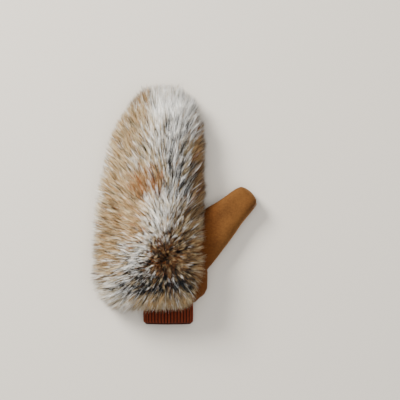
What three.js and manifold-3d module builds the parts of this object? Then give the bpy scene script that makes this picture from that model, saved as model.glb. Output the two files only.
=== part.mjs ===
// A fur mitten for the left hand, lying palm down: a deep-pile fur back, a suede palm, a suede thumb and a
// ribbed knit cuff. Millimetres, +Z up, +Y to the fingertips and +X to the thumb. The origin lies on the
// palm's resting face, under the middle of the hand.
import * as THREE from 'three';
import { mergeVertices } from 'three/addons/utils/BufferGeometryUtils.js';
import Module from 'manifold-3d';

const wasm = await Module();
wasm.setup();

// Shell: the pocket that suede palm and fur back form together
const SHELL_LENGTH = 255; // wrist edge to fingertip seam
const WRIST_REACH = 132; // origin to the wrist edge
const SHELL_WIDTH = 122; // across the ball of the thumb
const SHELL_LOFT = 43; // resting face to the crown of the pelt
const SEAM_HEIGHT = 11; // resting face to the seam round the palm
const SUEDE_WALL = 2; // palm and thumb
const PELT_WALL = 3; // knitted backing of the fur, without the pile
const SEAM_GAP = 0.3; // between sewn pieces

// Knit cuff
const CUFF_WIDTH = 64;
const CUFF_HEIGHT = 22;
const CUFF_LENGTH = 40; // hem to the edge hidden in the wrist
const CUFF_SEAT = 12; // stretch of it that is sewn inside the wrist
const CUFF_OFFSET = 11; // its middle, towards the thumb from the origin
const CUFF_LIFT = SUEDE_WALL + SEAM_GAP; // resting face to its underside at the wrist
const CUFF_WALL = 3.2;
const RIB_PITCH = 4.3;
const RIB_DEPTH = 0.9;
const HEM_ROUND = 5; // length over which the hem draws in
const HEM_TUCK = 2.2; // how far it draws in

// Thumb
const THUMB_LENGTH = 127; // root inside the palm to the tip
const THUMB_WIDTH = 62; // across its root
const THUMB_LOFT = 32; // height at its root
const THUMB_ANGLE = 46; // degrees from +X
const THUMB_ROOT_ALONG = 0.2; // share of SHELL_LENGTH from the wrist edge
const THUMB_ROOT_ACROSS = 30; // from the origin line

// Fur pile, in locks
const PILE_LENGTH = 31;
const LOCK_WIDTH = 16;
const LOCK_DEPTH = 8;
const LOCK_SPACING = 14.5;
const LOCK_SINK = 1.2; // how deep a lock's root stands in the backing
const WHORL_REACH = 57; // wrist edge to where the pile stands upright and parts to all sides
const WHORL_OFFSET = 6.5; // its middle, towards the thumb from the origin
const LEAST_LEAN = 8; // degrees from upright at the whorl
const MOST_LEAN = 60; // degrees from upright on top, away from the whorl
const EDGE_LEAN = 42; // degrees from the backing at the seams
const LEAN_REACH = 62; // distance from the whorl at which the lean is full
const WHORL_SHORTENING = 0.22; // share that the pile is shorter at the whorl

// One row for each section of the shell, from wrist to fingertip. along is a share of SHELL_LENGTH. left
// and right are the reach to each side of the origin line, as shares of SHELL_WIDTH. crown is a share of
// SHELL_LOFT, and keel is how far the palm curls off the floor, as a share of SEAM_HEIGHT. wrap is the share
// of the dome that suede covers on the thumb's side, and swell runs from the cuff's size to the shell's.
const SHELL_SECTIONS = [
  { along: 0.0, left: 0.35, right: 0.46, crown: 0.75, keel: 0, wrap: 0.3, swell: 0 },
  { along: 0.02, left: 0.37, right: 0.474, crown: 0.79, keel: 0, wrap: 0.3, swell: 0.5 },
  { along: 0.047, left: 0.4, right: 0.485, crown: 0.83, keel: 0, wrap: 0.31, swell: 1 },
  { along: 0.075, left: 0.445, right: 0.507, crown: 0.89, keel: 0, wrap: 0.32, swell: 1 },
  { along: 0.125, left: 0.483, right: 0.512, crown: 0.95, keel: 0, wrap: 0.32, swell: 1 },
  { along: 0.204, left: 0.496, right: 0.492, crown: 0.99, keel: 0, wrap: 0.31, swell: 1 },
  { along: 0.361, left: 0.492, right: 0.402, crown: 1.0, keel: 0, wrap: 0.22, swell: 1 },
  { along: 0.518, left: 0.459, right: 0.328, crown: 1.0, keel: 0, wrap: 0.05, swell: 1 },
  { along: 0.675, left: 0.41, right: 0.316, crown: 0.95, keel: 0, wrap: 0.02, swell: 1 },
  { along: 0.831, left: 0.32, right: 0.303, crown: 0.86, keel: 0, wrap: 0.02, swell: 1 },
  { along: 0.929, left: 0.21, right: 0.258, crown: 0.7, keel: 0.1, wrap: 0.02, swell: 1 },
  { along: 0.976, left: 0.09, right: 0.19, crown: 0.5, keel: 0.35, wrap: 0.02, swell: 1 },
  { along: 1.0, left: 0.0, right: 0.12, crown: 0.34, keel: 0.75, wrap: 0.02, swell: 1 },
];

// One row for each section of the thumb, from root to tip. upper and lower are the reach to each side of its
// middle line, as shares of THUMB_WIDTH, and loft is a share of THUMB_LOFT.
const THUMB_SECTIONS = [
  { along: 0.0, upper: 0.58, lower: 0.48, loft: 1.0 },
  { along: 0.13, upper: 0.56, lower: 0.46, loft: 1.0 },
  { along: 0.42, upper: 0.5, lower: 0.394, loft: 0.96 },
  { along: 0.565, upper: 0.445, lower: 0.355, loft: 0.91 },
  { along: 0.72, upper: 0.352, lower: 0.303, loft: 0.86 },
  { along: 0.91, upper: 0.28, lower: 0.271, loft: 0.8 },
  { along: 0.965, upper: 0.235, lower: 0.235, loft: 0.68 },
  { along: 0.99, upper: 0.16, lower: 0.175, loft: 0.48 },
  { along: 1.0, upper: 0.07, lower: 0.08, loft: 0.28 },
];

const MATERIALS = {
  fur: { color: '#b7a58c', roughness: 0.95, metalness: 0 },
  suede: { color: '#a86f35', roughness: 0.9, metalness: 0 },
  knit: { color: '#6e2713', roughness: 0.95, metalness: 0 },
};

// A smooth curve through one column of a table, with no overshoot between its rows.
function tableColumn(rows, column) {
  const at = rows.map((row) => row.along);
  const value = rows.map((row) => row[column]);
  const rise = at.slice(1).map((a, i) => (value[i + 1] - value[i]) / (a - at[i]));
  const slope = value.map((_, i) => {
    if (i === 0) return rise[0];
    if (i === rise.length) return rise[i - 1];
    if (rise[i - 1] * rise[i] <= 0) return 0;
    return (2 * rise[i - 1] * rise[i]) / (rise[i - 1] + rise[i]);
  });
  return (along) => {
    const i = Math.min(rise.length - 1, Math.max(0, at.findIndex((a) => a > along) - 1));
    const last = along >= at[at.length - 1] ? rise.length - 1 : i;
    const width = at[last + 1] - at[last];
    const t = (along - at[last]) / width;
    const bend = (1 - t) * slope[last] * width * t * (1 - t) - t * slope[last + 1] * width * t * (1 - t);
    return value[last] + (value[last + 1] - value[last]) * t * t * (3 - 2 * t) + bend;
  };
}

const columnsOf = (rows, names) => Object.fromEntries(names.map((name) => [name, tableColumn(rows, name)]));
const shellColumn = columnsOf(SHELL_SECTIONS, ['left', 'right', 'crown', 'keel', 'wrap', 'swell']);
const thumbColumn = columnsOf(THUMB_SECTIONS, ['upper', 'lower', 'loft']);

const mix = THREE.MathUtils.lerp;
const signedPower = (value, power) => Math.sign(value) * Math.abs(value) ** power;

// Where a flattened pocket's outline lies. turn 0 is its left seam, 1 its right seam over the top, and 2 the
// left seam again under the palm, which is flat between two round edges.
const DOME_ROUND = 0.82;
const EDGE_TURN = 0.3; // share of the underside's turn that one round edge takes
const MOST_EDGE = 0.45; // share of a pocket's width that one round edge may take
function pocketOutline(section, turn) {
  const { left, right, base, seam, crown, edge } = section;
  const middle = (left + right) / 2;
  const half = (right - left) / 2;
  if (turn <= 1) {
    const angle = Math.PI * (1 - turn);
    return {
      x: middle + half * signedPower(Math.cos(angle), DOME_ROUND),
      z: seam + (crown - seam) * Math.max(0, Math.sin(angle)) ** DOME_ROUND,
    };
  }
  const under = turn - 1;
  const round = Math.min(edge, MOST_EDGE * (right - left));
  const fromEdge = Math.min(under, 1 - under) / EDGE_TURN;
  const side = under < 0.5 ? 1 : -1;
  if (fromEdge >= 1) {
    const flat = (under - EDGE_TURN) / (1 - 2 * EDGE_TURN);
    return { x: mix(right - round, left + round, flat), z: base };
  }
  const angle = (fromEdge * Math.PI) / 2;
  return {
    x: middle + side * (half - round * (1 - Math.cos(angle))),
    z: seam - (seam - base) * Math.sin(angle),
  };
}

// The cuff's outline, which the wrist of the shell follows with room for its own wall
const CUFF_EDGE = 9;
function cuffSection(inset, lift) {
  return {
    left: CUFF_OFFSET - CUFF_WIDTH / 2 + inset,
    right: CUFF_OFFSET + CUFF_WIDTH / 2 - inset,
    base: CUFF_LIFT + lift + inset,
    seam: SEAM_HEIGHT + lift,
    crown: CUFF_LIFT + CUFF_HEIGHT + lift - inset,
    edge: CUFF_EDGE,
  };
}

// The shell's outline at a share of its length, drawn in by inset on all sides
const SHELL_EDGE = 15;
const MOST_FILL = 0.8; // share of the height under the seam that a wall may fill
const LEAST_DOME = 0.6; // crown over the seam
function shellSection(along, inset) {
  const swell = shellColumn.swell(along);
  const neck = cuffSection(-Math.max(PELT_WALL, SUEDE_WALL) - SEAM_GAP, 0);
  const base = mix(0, shellColumn.keel(along) * SEAM_HEIGHT, swell);
  const crown = mix(neck.crown, shellColumn.crown(along) * SHELL_LOFT, swell);
  return {
    left: mix(neck.left, -shellColumn.left(along) * SHELL_WIDTH, swell) + inset,
    right: mix(neck.right, shellColumn.right(along) * SHELL_WIDTH, swell) - inset,
    base: base + Math.min(inset, (SEAM_HEIGHT - base) * MOST_FILL),
    seam: SEAM_HEIGHT,
    crown: Math.max(crown - inset, SEAM_HEIGHT + LEAST_DOME),
    edge: mix(CUFF_EDGE, SHELL_EDGE, swell),
  };
}

function shellPoint(along, turn, inset) {
  const { x, z } = pocketOutline(shellSection(along, inset), turn);
  return new THREE.Vector3(x, -WRIST_REACH + along * (SHELL_LENGTH - inset), z);
}

// Turns a closed mesh into a solid, and back
const MERGE_REACH = 1e-4;
function solidOf(geometry) {
  const bare = new THREE.BufferGeometry();
  bare.setAttribute('position', geometry.getAttribute('position'));
  bare.setIndex(geometry.index);
  const merged = mergeVertices(bare, MERGE_REACH);
  const faces = [];
  for (let i = 0; i < merged.index.count; i += 3) {
    const [a, b, c] = [0, 1, 2].map((k) => merged.index.getX(i + k));
    if (a !== b && b !== c && c !== a) faces.push(a, b, c);
  }
  const mesh = new wasm.Mesh({
    numProp: 3,
    vertProperties: Float32Array.from(merged.attributes.position.array),
    triVerts: Uint32Array.from(faces),
  });
  return new wasm.Manifold(mesh);
}

function geometryOf(solid) {
  const { vertProperties, triVerts } = solid.getMesh();
  const geometry = new THREE.BufferGeometry();
  geometry.setAttribute('position', new THREE.BufferAttribute(Float32Array.from(vertProperties), 3));
  geometry.setIndex(Array.from(triVerts));
  const flat = geometry.toNonIndexed();
  flat.computeVertexNormals();
  return flat;
}

const largestBody = (solid) => solid.decompose().sort((a, b) => b.volume() - a.volume())[0];

function geometryFrom(points, faces) {
  const geometry = new THREE.BufferGeometry();
  geometry.setAttribute('position', new THREE.Float32BufferAttribute(points.flatMap((p) => p.toArray()), 3));
  geometry.setIndex(faces);
  return geometry;
}

// A wall between an outer and an inner grid of points, closed by four rims. outer and inner give the point at
// a row and column.
function wallSolid(rows, columns, outer, inner) {
  const points = [];
  const faces = [];
  for (const grid of [outer, inner])
    for (let r = 0; r < rows; r++) for (let c = 0; c < columns; c++) points.push(grid(r, c));
  const at = (side, r, c) => side * rows * columns + r * columns + c;
  const quad = (a, b, c, d) => faces.push(a, b, c, a, c, d);
  for (let r = 0; r + 1 < rows; r++)
    for (let c = 0; c + 1 < columns; c++) {
      quad(at(0, r, c), at(0, r, c + 1), at(0, r + 1, c + 1), at(0, r + 1, c));
      quad(at(1, r, c), at(1, r + 1, c), at(1, r + 1, c + 1), at(1, r, c + 1));
    }
  for (let r = 0; r + 1 < rows; r++) {
    quad(at(0, r, 0), at(0, r + 1, 0), at(1, r + 1, 0), at(1, r, 0));
    quad(at(0, r, columns - 1), at(1, r, columns - 1), at(1, r + 1, columns - 1), at(0, r + 1, columns - 1));
  }
  for (let c = 0; c + 1 < columns; c++) {
    quad(at(0, 0, c), at(1, 0, c), at(1, 0, c + 1), at(0, 0, c + 1));
    quad(at(0, rows - 1, c), at(0, rows - 1, c + 1), at(1, rows - 1, c + 1), at(1, rows - 1, c));
  }
  return solidOf(geometryFrom(points, faces));
}

// A solid through rings of points that turn clockwise as seen along the rows. ring gives the point at a row
// and column.
function loftSolid(rows, columns, ring) {
  const points = [];
  const faces = [];
  for (let r = 0; r < rows; r++) for (let c = 0; c < columns; c++) points.push(ring(r, c));
  for (let r = 0; r + 1 < rows; r++)
    for (let c = 0; c < columns; c++) {
      const next = (c + 1) % columns;
      const [a, b] = [r * columns + c, (r + 1) * columns + c];
      const [d, e] = [r * columns + next, (r + 1) * columns + next];
      faces.push(a, e, b, a, d, e);
    }
  for (const [row, order] of [[0, 1], [rows - 1, -1]]) {
    const middle = new THREE.Vector3();
    for (let c = 0; c < columns; c++) middle.addScaledVector(points[row * columns + c], 1 / columns);
    const centre = points.push(middle) - 1;
    for (let c = 0; c < columns; c++) {
      const [a, b] = [row * columns + c, row * columns + ((c + 1) % columns)];
      faces.push(...(order > 0 ? [b, a, centre] : [a, b, centre]));
    }
  }
  return solidOf(geometryFrom(points, faces));
}

// Shares of the shell's length where sections stand, closer together where the outline turns
const SHELL_STATIONS = [
  0, 0.02, 0.047, 0.075, 0.125, 0.2, 0.28, 0.36, 0.44, 0.52, 0.6, 0.68, 0.76, 0.83, 0.885, 0.93, 0.96, 0.98,
  1,
];
const DOME_STEPS = 12;
const UNDER_TURNS = [0, 0.1, 0.2, 0.3, 0.5, 0.7, 0.8, 0.9, 1];
const WRAP_STEPS = 3;

const DOME_GIRTH = 1.2; // the dome's arc, as a share of its width
const seamTurn = (along) => 1 - shellColumn.wrap(along);
const gapTurn = SEAM_GAP / (SHELL_WIDTH * DOME_GIRTH);

// Turns of the dome that the pelt covers, up to where it stops short of the suede
const peltTurns = (end) => Array.from({ length: DOME_STEPS + 1 }, (_, i) => (i / DOME_STEPS) * end);

// Turns of the suede, from the fur's edge on the thumb's side round under the hand to the other seam
const palmTurns = (along) => [
  ...Array.from({ length: WRAP_STEPS }, (_, i) => mix(seamTurn(along), 1, i / WRAP_STEPS)),
  ...UNDER_TURNS.map((turn) => 1 + turn),
];

// The fur's backing, from the little finger's seam over the hand to the edge of the suede
function peltBacking() {
  const point = (inset) => (r, c) => {
    const along = SHELL_STATIONS[r];
    const turn = peltTurns(seamTurn(along) - gapTurn)[c];
    return shellPoint(along, turn, inset).add(new THREE.Vector3(0, 0, SEAM_GAP));
  };
  return wallSolid(SHELL_STATIONS.length, DOME_STEPS + 1, point(0), point(PELT_WALL));
}

// The suede palm's wall, thickened by grow on both faces
function palmWall(grow) {
  const point = (inset) => (r, c) => {
    const along = SHELL_STATIONS[r];
    return shellPoint(along, palmTurns(along)[c], inset);
  };
  const columns = WRAP_STEPS + UNDER_TURNS.length;
  return wallSolid(SHELL_STATIONS.length, columns, point(-grow), point(SUEDE_WALL + grow));
}

// The whole pocket as one closed block, drawn in by inset
function shellBlock(inset) {
  const turns = (along) => [...peltTurns(seamTurn(along)).slice(0, -1), ...palmTurns(along).slice(0, -1)];
  const columns = turns(0).length;
  return loftSolid(SHELL_STATIONS.length, columns, (r, c) => {
    const along = SHELL_STATIONS[r];
    return shellPoint(along, turns(along)[c], inset);
  });
}

// The thumb's outline as a closed block, drawn in by inset, and lifted off the floor by as much. Its corners
// are rounder than an oval's, and its tip curls up.
const THUMB_STATIONS = [0, 0.13, 0.28, 0.42, 0.565, 0.72, 0.86, 0.925, 0.96, 0.982, 1];
const THUMB_STEPS = 22;
const THUMB_ROUND = 0.62;
const thumbAxis = new THREE.Vector3(1, 0, 0).applyAxisAngle(
  new THREE.Vector3(0, 0, 1),
  THREE.MathUtils.degToRad(THUMB_ANGLE),
);
const thumbSide = new THREE.Vector3(-thumbAxis.y, thumbAxis.x, 0);
const THUMB_TIP_LIFT = 5; // middle of the tip above the middle of a thumb lying flat
const THUMB_TIP_CURL = 6; // power by which the lift grows along the thumb
const LEAST_THUMB_HALF = 1; // half height of the thumb's bore at its tip
function thumbBlock(inset) {
  return loftSolid(THUMB_STATIONS.length, THUMB_STEPS, (r, c) => {
    const along = THUMB_STATIONS[r];
    const angle = (2 * Math.PI * c) / THUMB_STEPS;
    const upper = thumbColumn.upper(along) * THUMB_WIDTH - inset;
    const lower = thumbColumn.lower(along) * THUMB_WIDTH - inset;
    const high = (thumbColumn.loft(along) * THUMB_LOFT) / 2;
    const lift = THUMB_TIP_LIFT * along ** THUMB_TIP_CURL;
    const across = mix(-lower, upper, (1 + signedPower(Math.cos(angle), THUMB_ROUND)) / 2);
    const height = Math.max(high - inset, LEAST_THUMB_HALF) * signedPower(Math.sin(angle), THUMB_ROUND);
    return new THREE.Vector3(THUMB_ROOT_ACROSS, -WRIST_REACH + THUMB_ROOT_ALONG * SHELL_LENGTH, 0)
      .addScaledVector(thumbAxis, along * (THUMB_LENGTH - inset))
      .addScaledVector(thumbSide, across)
      .setZ(Math.max(high + lift + height, inset > 0 ? inset : 0));
  });
}

// Points at even steps round a pocket's outline
const TRACE_STEPS = 10; // for each point
function evenOutline(section, count) {
  const fine = TRACE_STEPS * count;
  const trace = Array.from({ length: fine + 1 }, (_, i) => pocketOutline(section, (2 * i) / fine));
  const path = new THREE.CurvePath();
  trace.slice(1).forEach(({ x, z }, i) => {
    path.add(new THREE.LineCurve(new THREE.Vector2(trace[i].x, trace[i].z), new THREE.Vector2(x, z)));
  });
  return Array.from({ length: count }, (_, i) => path.getPointAt(i / count));
}

// The ribbed cuff: an oval knitted tube that runs from inside the wrist to a rounded hem
const RIB_RISE = [0, 1, 1]; // trough and crest of a rib, as shares of RIB_DEPTH
const CUFF_STATIONS = [0, CUFF_SEAT / CUFF_LENGTH, 0.88, 0.96, 1];
const LINING_STATIONS = [1, 0];
const CUFF_SAG = 2; // how far the hem sinks below the wrist
function cuffTube() {
  const girth = 2 * (CUFF_WIDTH - CUFF_HEIGHT) + Math.PI * CUFF_HEIGHT;
  const count = Math.round(girth / RIB_PITCH) * RIB_RISE.length;
  const crest = evenOutline(cuffSection(0, 0), count);
  const trough = evenOutline(cuffSection(RIB_DEPTH, 0), count);
  const inside = evenOutline(cuffSection(CUFF_WALL, 0), count);
  const place = (flat, share, tucked) => {
    const reach = share * CUFF_LENGTH;
    const free = Math.max(0, reach - CUFF_SEAT) / (CUFF_LENGTH - CUFF_SEAT);
    const drawn = tucked * Math.max(0, 1 - (CUFF_LENGTH - reach) / HEM_ROUND) ** 2;
    const wide = 1 - drawn / (CUFF_WIDTH / 2);
    const high = 1 - drawn / (CUFF_HEIGHT / 2);
    return new THREE.Vector3(
      CUFF_OFFSET + (flat.x - CUFF_OFFSET) * wide,
      -WRIST_REACH + CUFF_SEAT - reach,
      SEAM_HEIGHT + (flat.y - SEAM_HEIGHT) * high - CUFF_SAG * free,
    );
  };
  const outer = (share, c) =>
    place(trough[c].clone().lerp(crest[c], RIB_RISE[c % RIB_RISE.length]), share, HEM_TUCK);
  const inner = (share, c) => place(inside[c], share, 0);
  const rings = [
    ...CUFF_STATIONS.map((share) => (c) => outer(share, c)),
    ...LINING_STATIONS.map((share) => (c) => inner(share, c)),
  ];
  const points = rings.flatMap((ring) => Array.from({ length: count }, (_, c) => ring(c)));
  const faces = [];
  for (let r = 0; r < rings.length; r++)
    for (let c = 0; c < count; c++) {
      const [row, nextRow, next] = [r * count, ((r + 1) % rings.length) * count, (c + 1) % count];
      faces.push(row + c, nextRow + next, row + next, row + c, nextRow + c, nextRow + next);
    }
  return solidOf(geometryFrom(points, faces));
}

// A repeatable scatter between -1 and 1 for a lock's number
function scatter(index, salt) {
  const wave = Math.sin(index * 12.9898 + salt * 78.233) * 43758.5453;
  return 2 * (wave - Math.floor(wave)) - 1;
}

// How the pile lies at a point of the backing: it parts from the whorl to all sides, more across than along
const CROSS_PARTING = 1.5;
function pileLay(point, normal) {
  const across = point.x - WHORL_OFFSET;
  const ahead = point.y + WRIST_REACH - WHORL_REACH;
  const away = new THREE.Vector3(across * CROSS_PARTING, ahead, 0);
  const distance = Math.hypot(across, ahead);
  const flow = away.normalize().addScaledVector(normal, -away.dot(normal));
  const side = 1 - Math.max(0, normal.z);
  const settled = Math.min(1, distance / LEAN_REACH);
  const lean = mix(LEAST_LEAN, mix(MOST_LEAN, EDGE_LEAN, side), settled);
  const length = PILE_LENGTH * (1 - WHORL_SHORTENING * (1 - settled));
  return { flow: flow.normalize(), lean: THREE.MathUtils.degToRad(lean), length };
}

// One lock: a flat, curved blade with a ridge along its back, which stands in the backing
const LOCK_LEVELS = [
  { along: 0, width: 0.85, bend: 0 },
  { along: 0.52, width: 1, bend: 0.78 },
];
const LOCK_RIDGE = 0.7; // share of its depth that the ridge stands above its middle
const LENGTH_SCATTER = 0.12;
const SWAY_SCATTER = 0.22;
const WIDTH_SCATTER = 0.15;
function furLock(root, normal, index) {
  const lay = pileLay(root, normal);
  const { flow, lean } = lay;
  const across = new THREE.Vector3().crossVectors(normal, flow).normalize();
  const length = lay.length * (1 + LENGTH_SCATTER * scatter(index, 1));
  const sway = SWAY_SCATTER * scatter(index, 2);
  const spread = 1 + WIDTH_SCATTER * scatter(index, 3);
  const place = (share, bend) =>
    root
      .clone()
      .addScaledVector(normal, length * share * Math.cos(lean * bend))
      .addScaledVector(flow, length * share * Math.sin(lean * bend))
      .addScaledVector(across, length * share * share * sway);
  const points = [];
  for (const level of LOCK_LEVELS) {
    const middle = place(level.along, level.bend);
    if (level.along === 0) middle.addScaledVector(normal, -LOCK_SINK);
    const back = new THREE.Vector3()
      .addScaledVector(normal, Math.sin(lean * level.bend))
      .addScaledVector(flow, -Math.cos(lean * level.bend));
    const half = (LOCK_WIDTH / 2) * level.width * spread;
    const under = LOCK_DEPTH * (LOCK_RIDGE - 1);
    points.push(middle.clone().addScaledVector(across, half).addScaledVector(back, under));
    points.push(middle.clone().addScaledVector(back, LOCK_DEPTH * LOCK_RIDGE * level.width));
    points.push(middle.clone().addScaledVector(across, -half).addScaledVector(back, under));
  }
  points.push(place(1, 1));
  const faces = [0, 2, 1];
  for (let k = 0; k < 3; k++) {
    const next = (k + 1) % 3;
    faces.push(k, next, 3 + next, k, 3 + next, 3 + k, 3 + k, 3 + next, 6);
  }
  return solidOf(geometryFrom(points, faces));
}

// All locks, in staggered rows over the backing
const FIRST_ROW = 0.05; // share of SHELL_LENGTH
const LAST_ROW = 0.97;
const END_CROWDING = 1.6; // how much closer the locks of the two end rows stand
const STAGGER = 0.25; // shift of every other row, as a share of a lock's place
const ACROSS_SCATTER = 0.16;
const ALONG_SCATTER = 0.15;
const EDGE_SHARES = [0.02, 0.97]; // nearest that a lock stands to either edge of the pelt
const DOME_RISE = 1.3; // how much of the dome's height its arc adds to its width
const NORMAL_STEP = 0.004; // share of length and turn between the points that give a normal

// About how far the pelt reaches over the hand at a share of its length
function peltGirth(along) {
  const { left, right, crown, seam } = shellSection(along, 0);
  return (right - left + DOME_RISE * (crown - seam)) * seamTurn(along);
}

// A point of the pelt and its outward normal
function peltRoot(along, turn) {
  const root = shellPoint(along, turn, 0).add(new THREE.Vector3(0, 0, SEAM_GAP));
  const ahead = shellPoint(along + NORMAL_STEP, turn, 0).sub(shellPoint(along - NORMAL_STEP, turn, 0));
  const before = Math.max(0, turn - NORMAL_STEP);
  const over = shellPoint(along, turn + NORMAL_STEP, 0).sub(shellPoint(along, before, 0));
  return { root, normal: new THREE.Vector3().crossVectors(over, ahead).normalize() };
}

function pileLocks() {
  const locks = [];
  const rows = Math.round(SHELL_LENGTH / LOCK_SPACING);
  for (let r = 0; r <= rows; r++) {
    const along = mix(FIRST_ROW, LAST_ROW, r / rows);
    const crowding = r === 0 || r === rows ? END_CROWDING : 1;
    const columns = Math.round((peltGirth(along) * crowding) / LOCK_SPACING);
    for (let c = 0; c < columns; c++) {
      const index = locks.length;
      const stagger = r % 2 ? STAGGER : -STAGGER;
      const share = (c + 0.5 + stagger + ACROSS_SCATTER * scatter(index, 4)) / columns;
      const turn = THREE.MathUtils.clamp(share, ...EDGE_SHARES) * seamTurn(along);
      const { root, normal } = peltRoot(along + (ALONG_SCATTER * scatter(index, 5)) / rows, turn);
      locks.push(furLock(root, normal, index));
    }
  }
  return wasm.Manifold.union(locks);
}

// Everything below a height, past which the fur doesn't hang
const FLOOR_SIDE = 4 * SHELL_LENGTH;
const FLOOR_DEPTH = 2 * SHELL_LOFT;
function floorBlock(height) {
  const box = new THREE.BoxGeometry(FLOOR_SIDE, FLOOR_SIDE, FLOOR_DEPTH);
  box.translate(0, 0, height - FLOOR_DEPTH / 2);
  return solidOf(box);
}

// The cuff's outline with clearance, through which no lock passes
const FUR_CLEARANCE = 0.4; // to the suede, the cuff and the floor
const KEEP_OUT_STEPS = 40;
const KEEP_OUT_MARGIN = 1; // past both ends of the cuff
function cuffKeepOut() {
  const turns = Array.from({ length: KEEP_OUT_STEPS }, (_, i) => (2 * i) / KEEP_OUT_STEPS);
  const hidden = -WRIST_REACH + CUFF_SEAT;
  const ends = [hidden - CUFF_LENGTH - KEEP_OUT_MARGIN, hidden + KEEP_OUT_MARGIN];
  return loftSolid(2, turns.length, (r, c) => {
    const { x, z } = pocketOutline(cuffSection(-FUR_CLEARANCE, r ? 0 : -CUFF_SAG), turns[c]);
    return new THREE.Vector3(x, ends[r], z);
  });
}

// Cuts the pieces to each other and names them
function furBack() {
  const pile = pileLocks().subtract(shellBlock(PELT_WALL / 2)).subtract(floorBlock(FUR_CLEARANCE));
  const suede = palmWall(FUR_CLEARANCE);
  const neighbours = [suede, suede.translate([0, 0, SEAM_GAP]), thumbBlock(-FUR_CLEARANCE), cuffKeepOut()];
  return largestBody(peltBacking().add(pile).subtract(wasm.Manifold.union(neighbours)));
}

const BORE_LIFT = 1; // thumb's bore above the palm's lining
function palm() {
  const bore = thumbBlock(SUEDE_WALL).translate([0, 0, BORE_LIFT]);
  return largestBody(palmWall(0).subtract(bore));
}

function thumb() {
  return largestBody(thumbBlock(0).subtract(thumbBlock(SUEDE_WALL)).subtract(shellBlock(-SEAM_GAP)));
}

function namedMesh(name, solid, look) {
  const mesh = new THREE.Mesh(geometryOf(solid), new THREE.MeshStandardMaterial(MATERIALS[look]));
  mesh.name = name;
  return mesh;
}

const mitten = new THREE.Group();
mitten.add(namedMesh('fur_back', furBack(), 'fur'));
mitten.add(namedMesh('palm', palm(), 'suede'));
mitten.add(namedMesh('thumb', thumb(), 'suede'));
mitten.add(namedMesh('knit_cuff', cuffTube(), 'knit'));

export default mitten;
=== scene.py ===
import math
import bpy
import numpy as np
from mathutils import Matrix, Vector
from mathutils.kdtree import KDTree


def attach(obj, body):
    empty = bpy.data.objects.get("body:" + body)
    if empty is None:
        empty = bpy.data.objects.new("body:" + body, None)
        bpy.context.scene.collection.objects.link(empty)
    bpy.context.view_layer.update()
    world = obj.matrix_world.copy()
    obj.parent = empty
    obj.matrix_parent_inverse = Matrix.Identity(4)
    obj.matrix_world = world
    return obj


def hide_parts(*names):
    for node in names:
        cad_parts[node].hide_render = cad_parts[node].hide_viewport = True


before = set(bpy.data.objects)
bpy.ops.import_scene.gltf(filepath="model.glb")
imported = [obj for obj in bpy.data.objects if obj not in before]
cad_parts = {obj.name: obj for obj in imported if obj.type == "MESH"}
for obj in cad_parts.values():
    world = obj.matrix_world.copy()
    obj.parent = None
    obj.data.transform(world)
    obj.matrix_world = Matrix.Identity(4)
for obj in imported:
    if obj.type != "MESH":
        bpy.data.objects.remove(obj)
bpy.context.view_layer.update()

# Suede palm
# The palm is one panel of tan suede. It runs flat under the hand, turns up round both sides to the edge of
# the fur and is gathered a little into the knit cuff, with its nap side out.
SHELL_LENGTH = 0.255
WRIST_REACH = 0.132
SHELL_WIDTH = 0.122
SHELL_LOFT = 0.043
SEAM_HEIGHT = 0.011
SHELL_EDGE = 0.015
SUEDE_WALL = 0.002
PELT_WALL = 0.003
SEAM_GAP = 0.0003
CUFF_WIDTH = 0.064
CUFF_HEIGHT = 0.022
CUFF_OFFSET = 0.011
CUFF_EDGE = 0.009
CUFF_LIFT = SUEDE_WALL + SEAM_GAP
DOME_ROUND = 0.82
EDGE_TURN = 0.3
SHELL_COLUMNS = ("along", "left", "right", "crown", "keel", "wrap", "swell")
SHELL_SECTIONS = (
    (0.0, 0.35, 0.46, 0.75, 0, 0.3, 0),
    (0.02, 0.37, 0.474, 0.79, 0, 0.3, 0.5),
    (0.047, 0.4, 0.485, 0.83, 0, 0.31, 1),
    (0.075, 0.445, 0.507, 0.89, 0, 0.32, 1),
    (0.125, 0.483, 0.512, 0.95, 0, 0.32, 1),
    (0.204, 0.496, 0.492, 0.99, 0, 0.31, 1),
    (0.361, 0.492, 0.402, 1.0, 0, 0.22, 1),
    (0.518, 0.459, 0.328, 1.0, 0, 0.05, 1),
    (0.675, 0.41, 0.316, 0.95, 0, 0.02, 1),
    (0.831, 0.32, 0.303, 0.86, 0, 0.02, 1),
    (0.929, 0.21, 0.258, 0.7, 0.1, 0.02, 1),
    (0.976, 0.09, 0.19, 0.5, 0.35, 0.02, 1),
    (1.0, 0.0, 0.12, 0.34, 0.75, 0.02, 1),
)
PALM_ROWS = 120
PALM_WRAP_COLUMNS = 18
PALM_EDGE_COLUMNS = 10
PALM_FLAT_COLUMNS = 16
GATHER_PITCH = 0.0075
GATHER_DEPTH = 0.0009
GATHER_REACH = 0.02
NAP_SWELL = 0.00035
NAP_WAVES = 0.03
NAP_SEED = 5
WAVE_COUNT = 7
WAVE_SPREAD = (0.75, 1.5)
FLOOR_GAP = 0.001
FLOOR_FADE = 0.004
LEAST_CROWN = 0.0006
MOST_ROUNDING = 0.45
KEEL_ROOM = 0.8
END_EASING = 0.75


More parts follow.
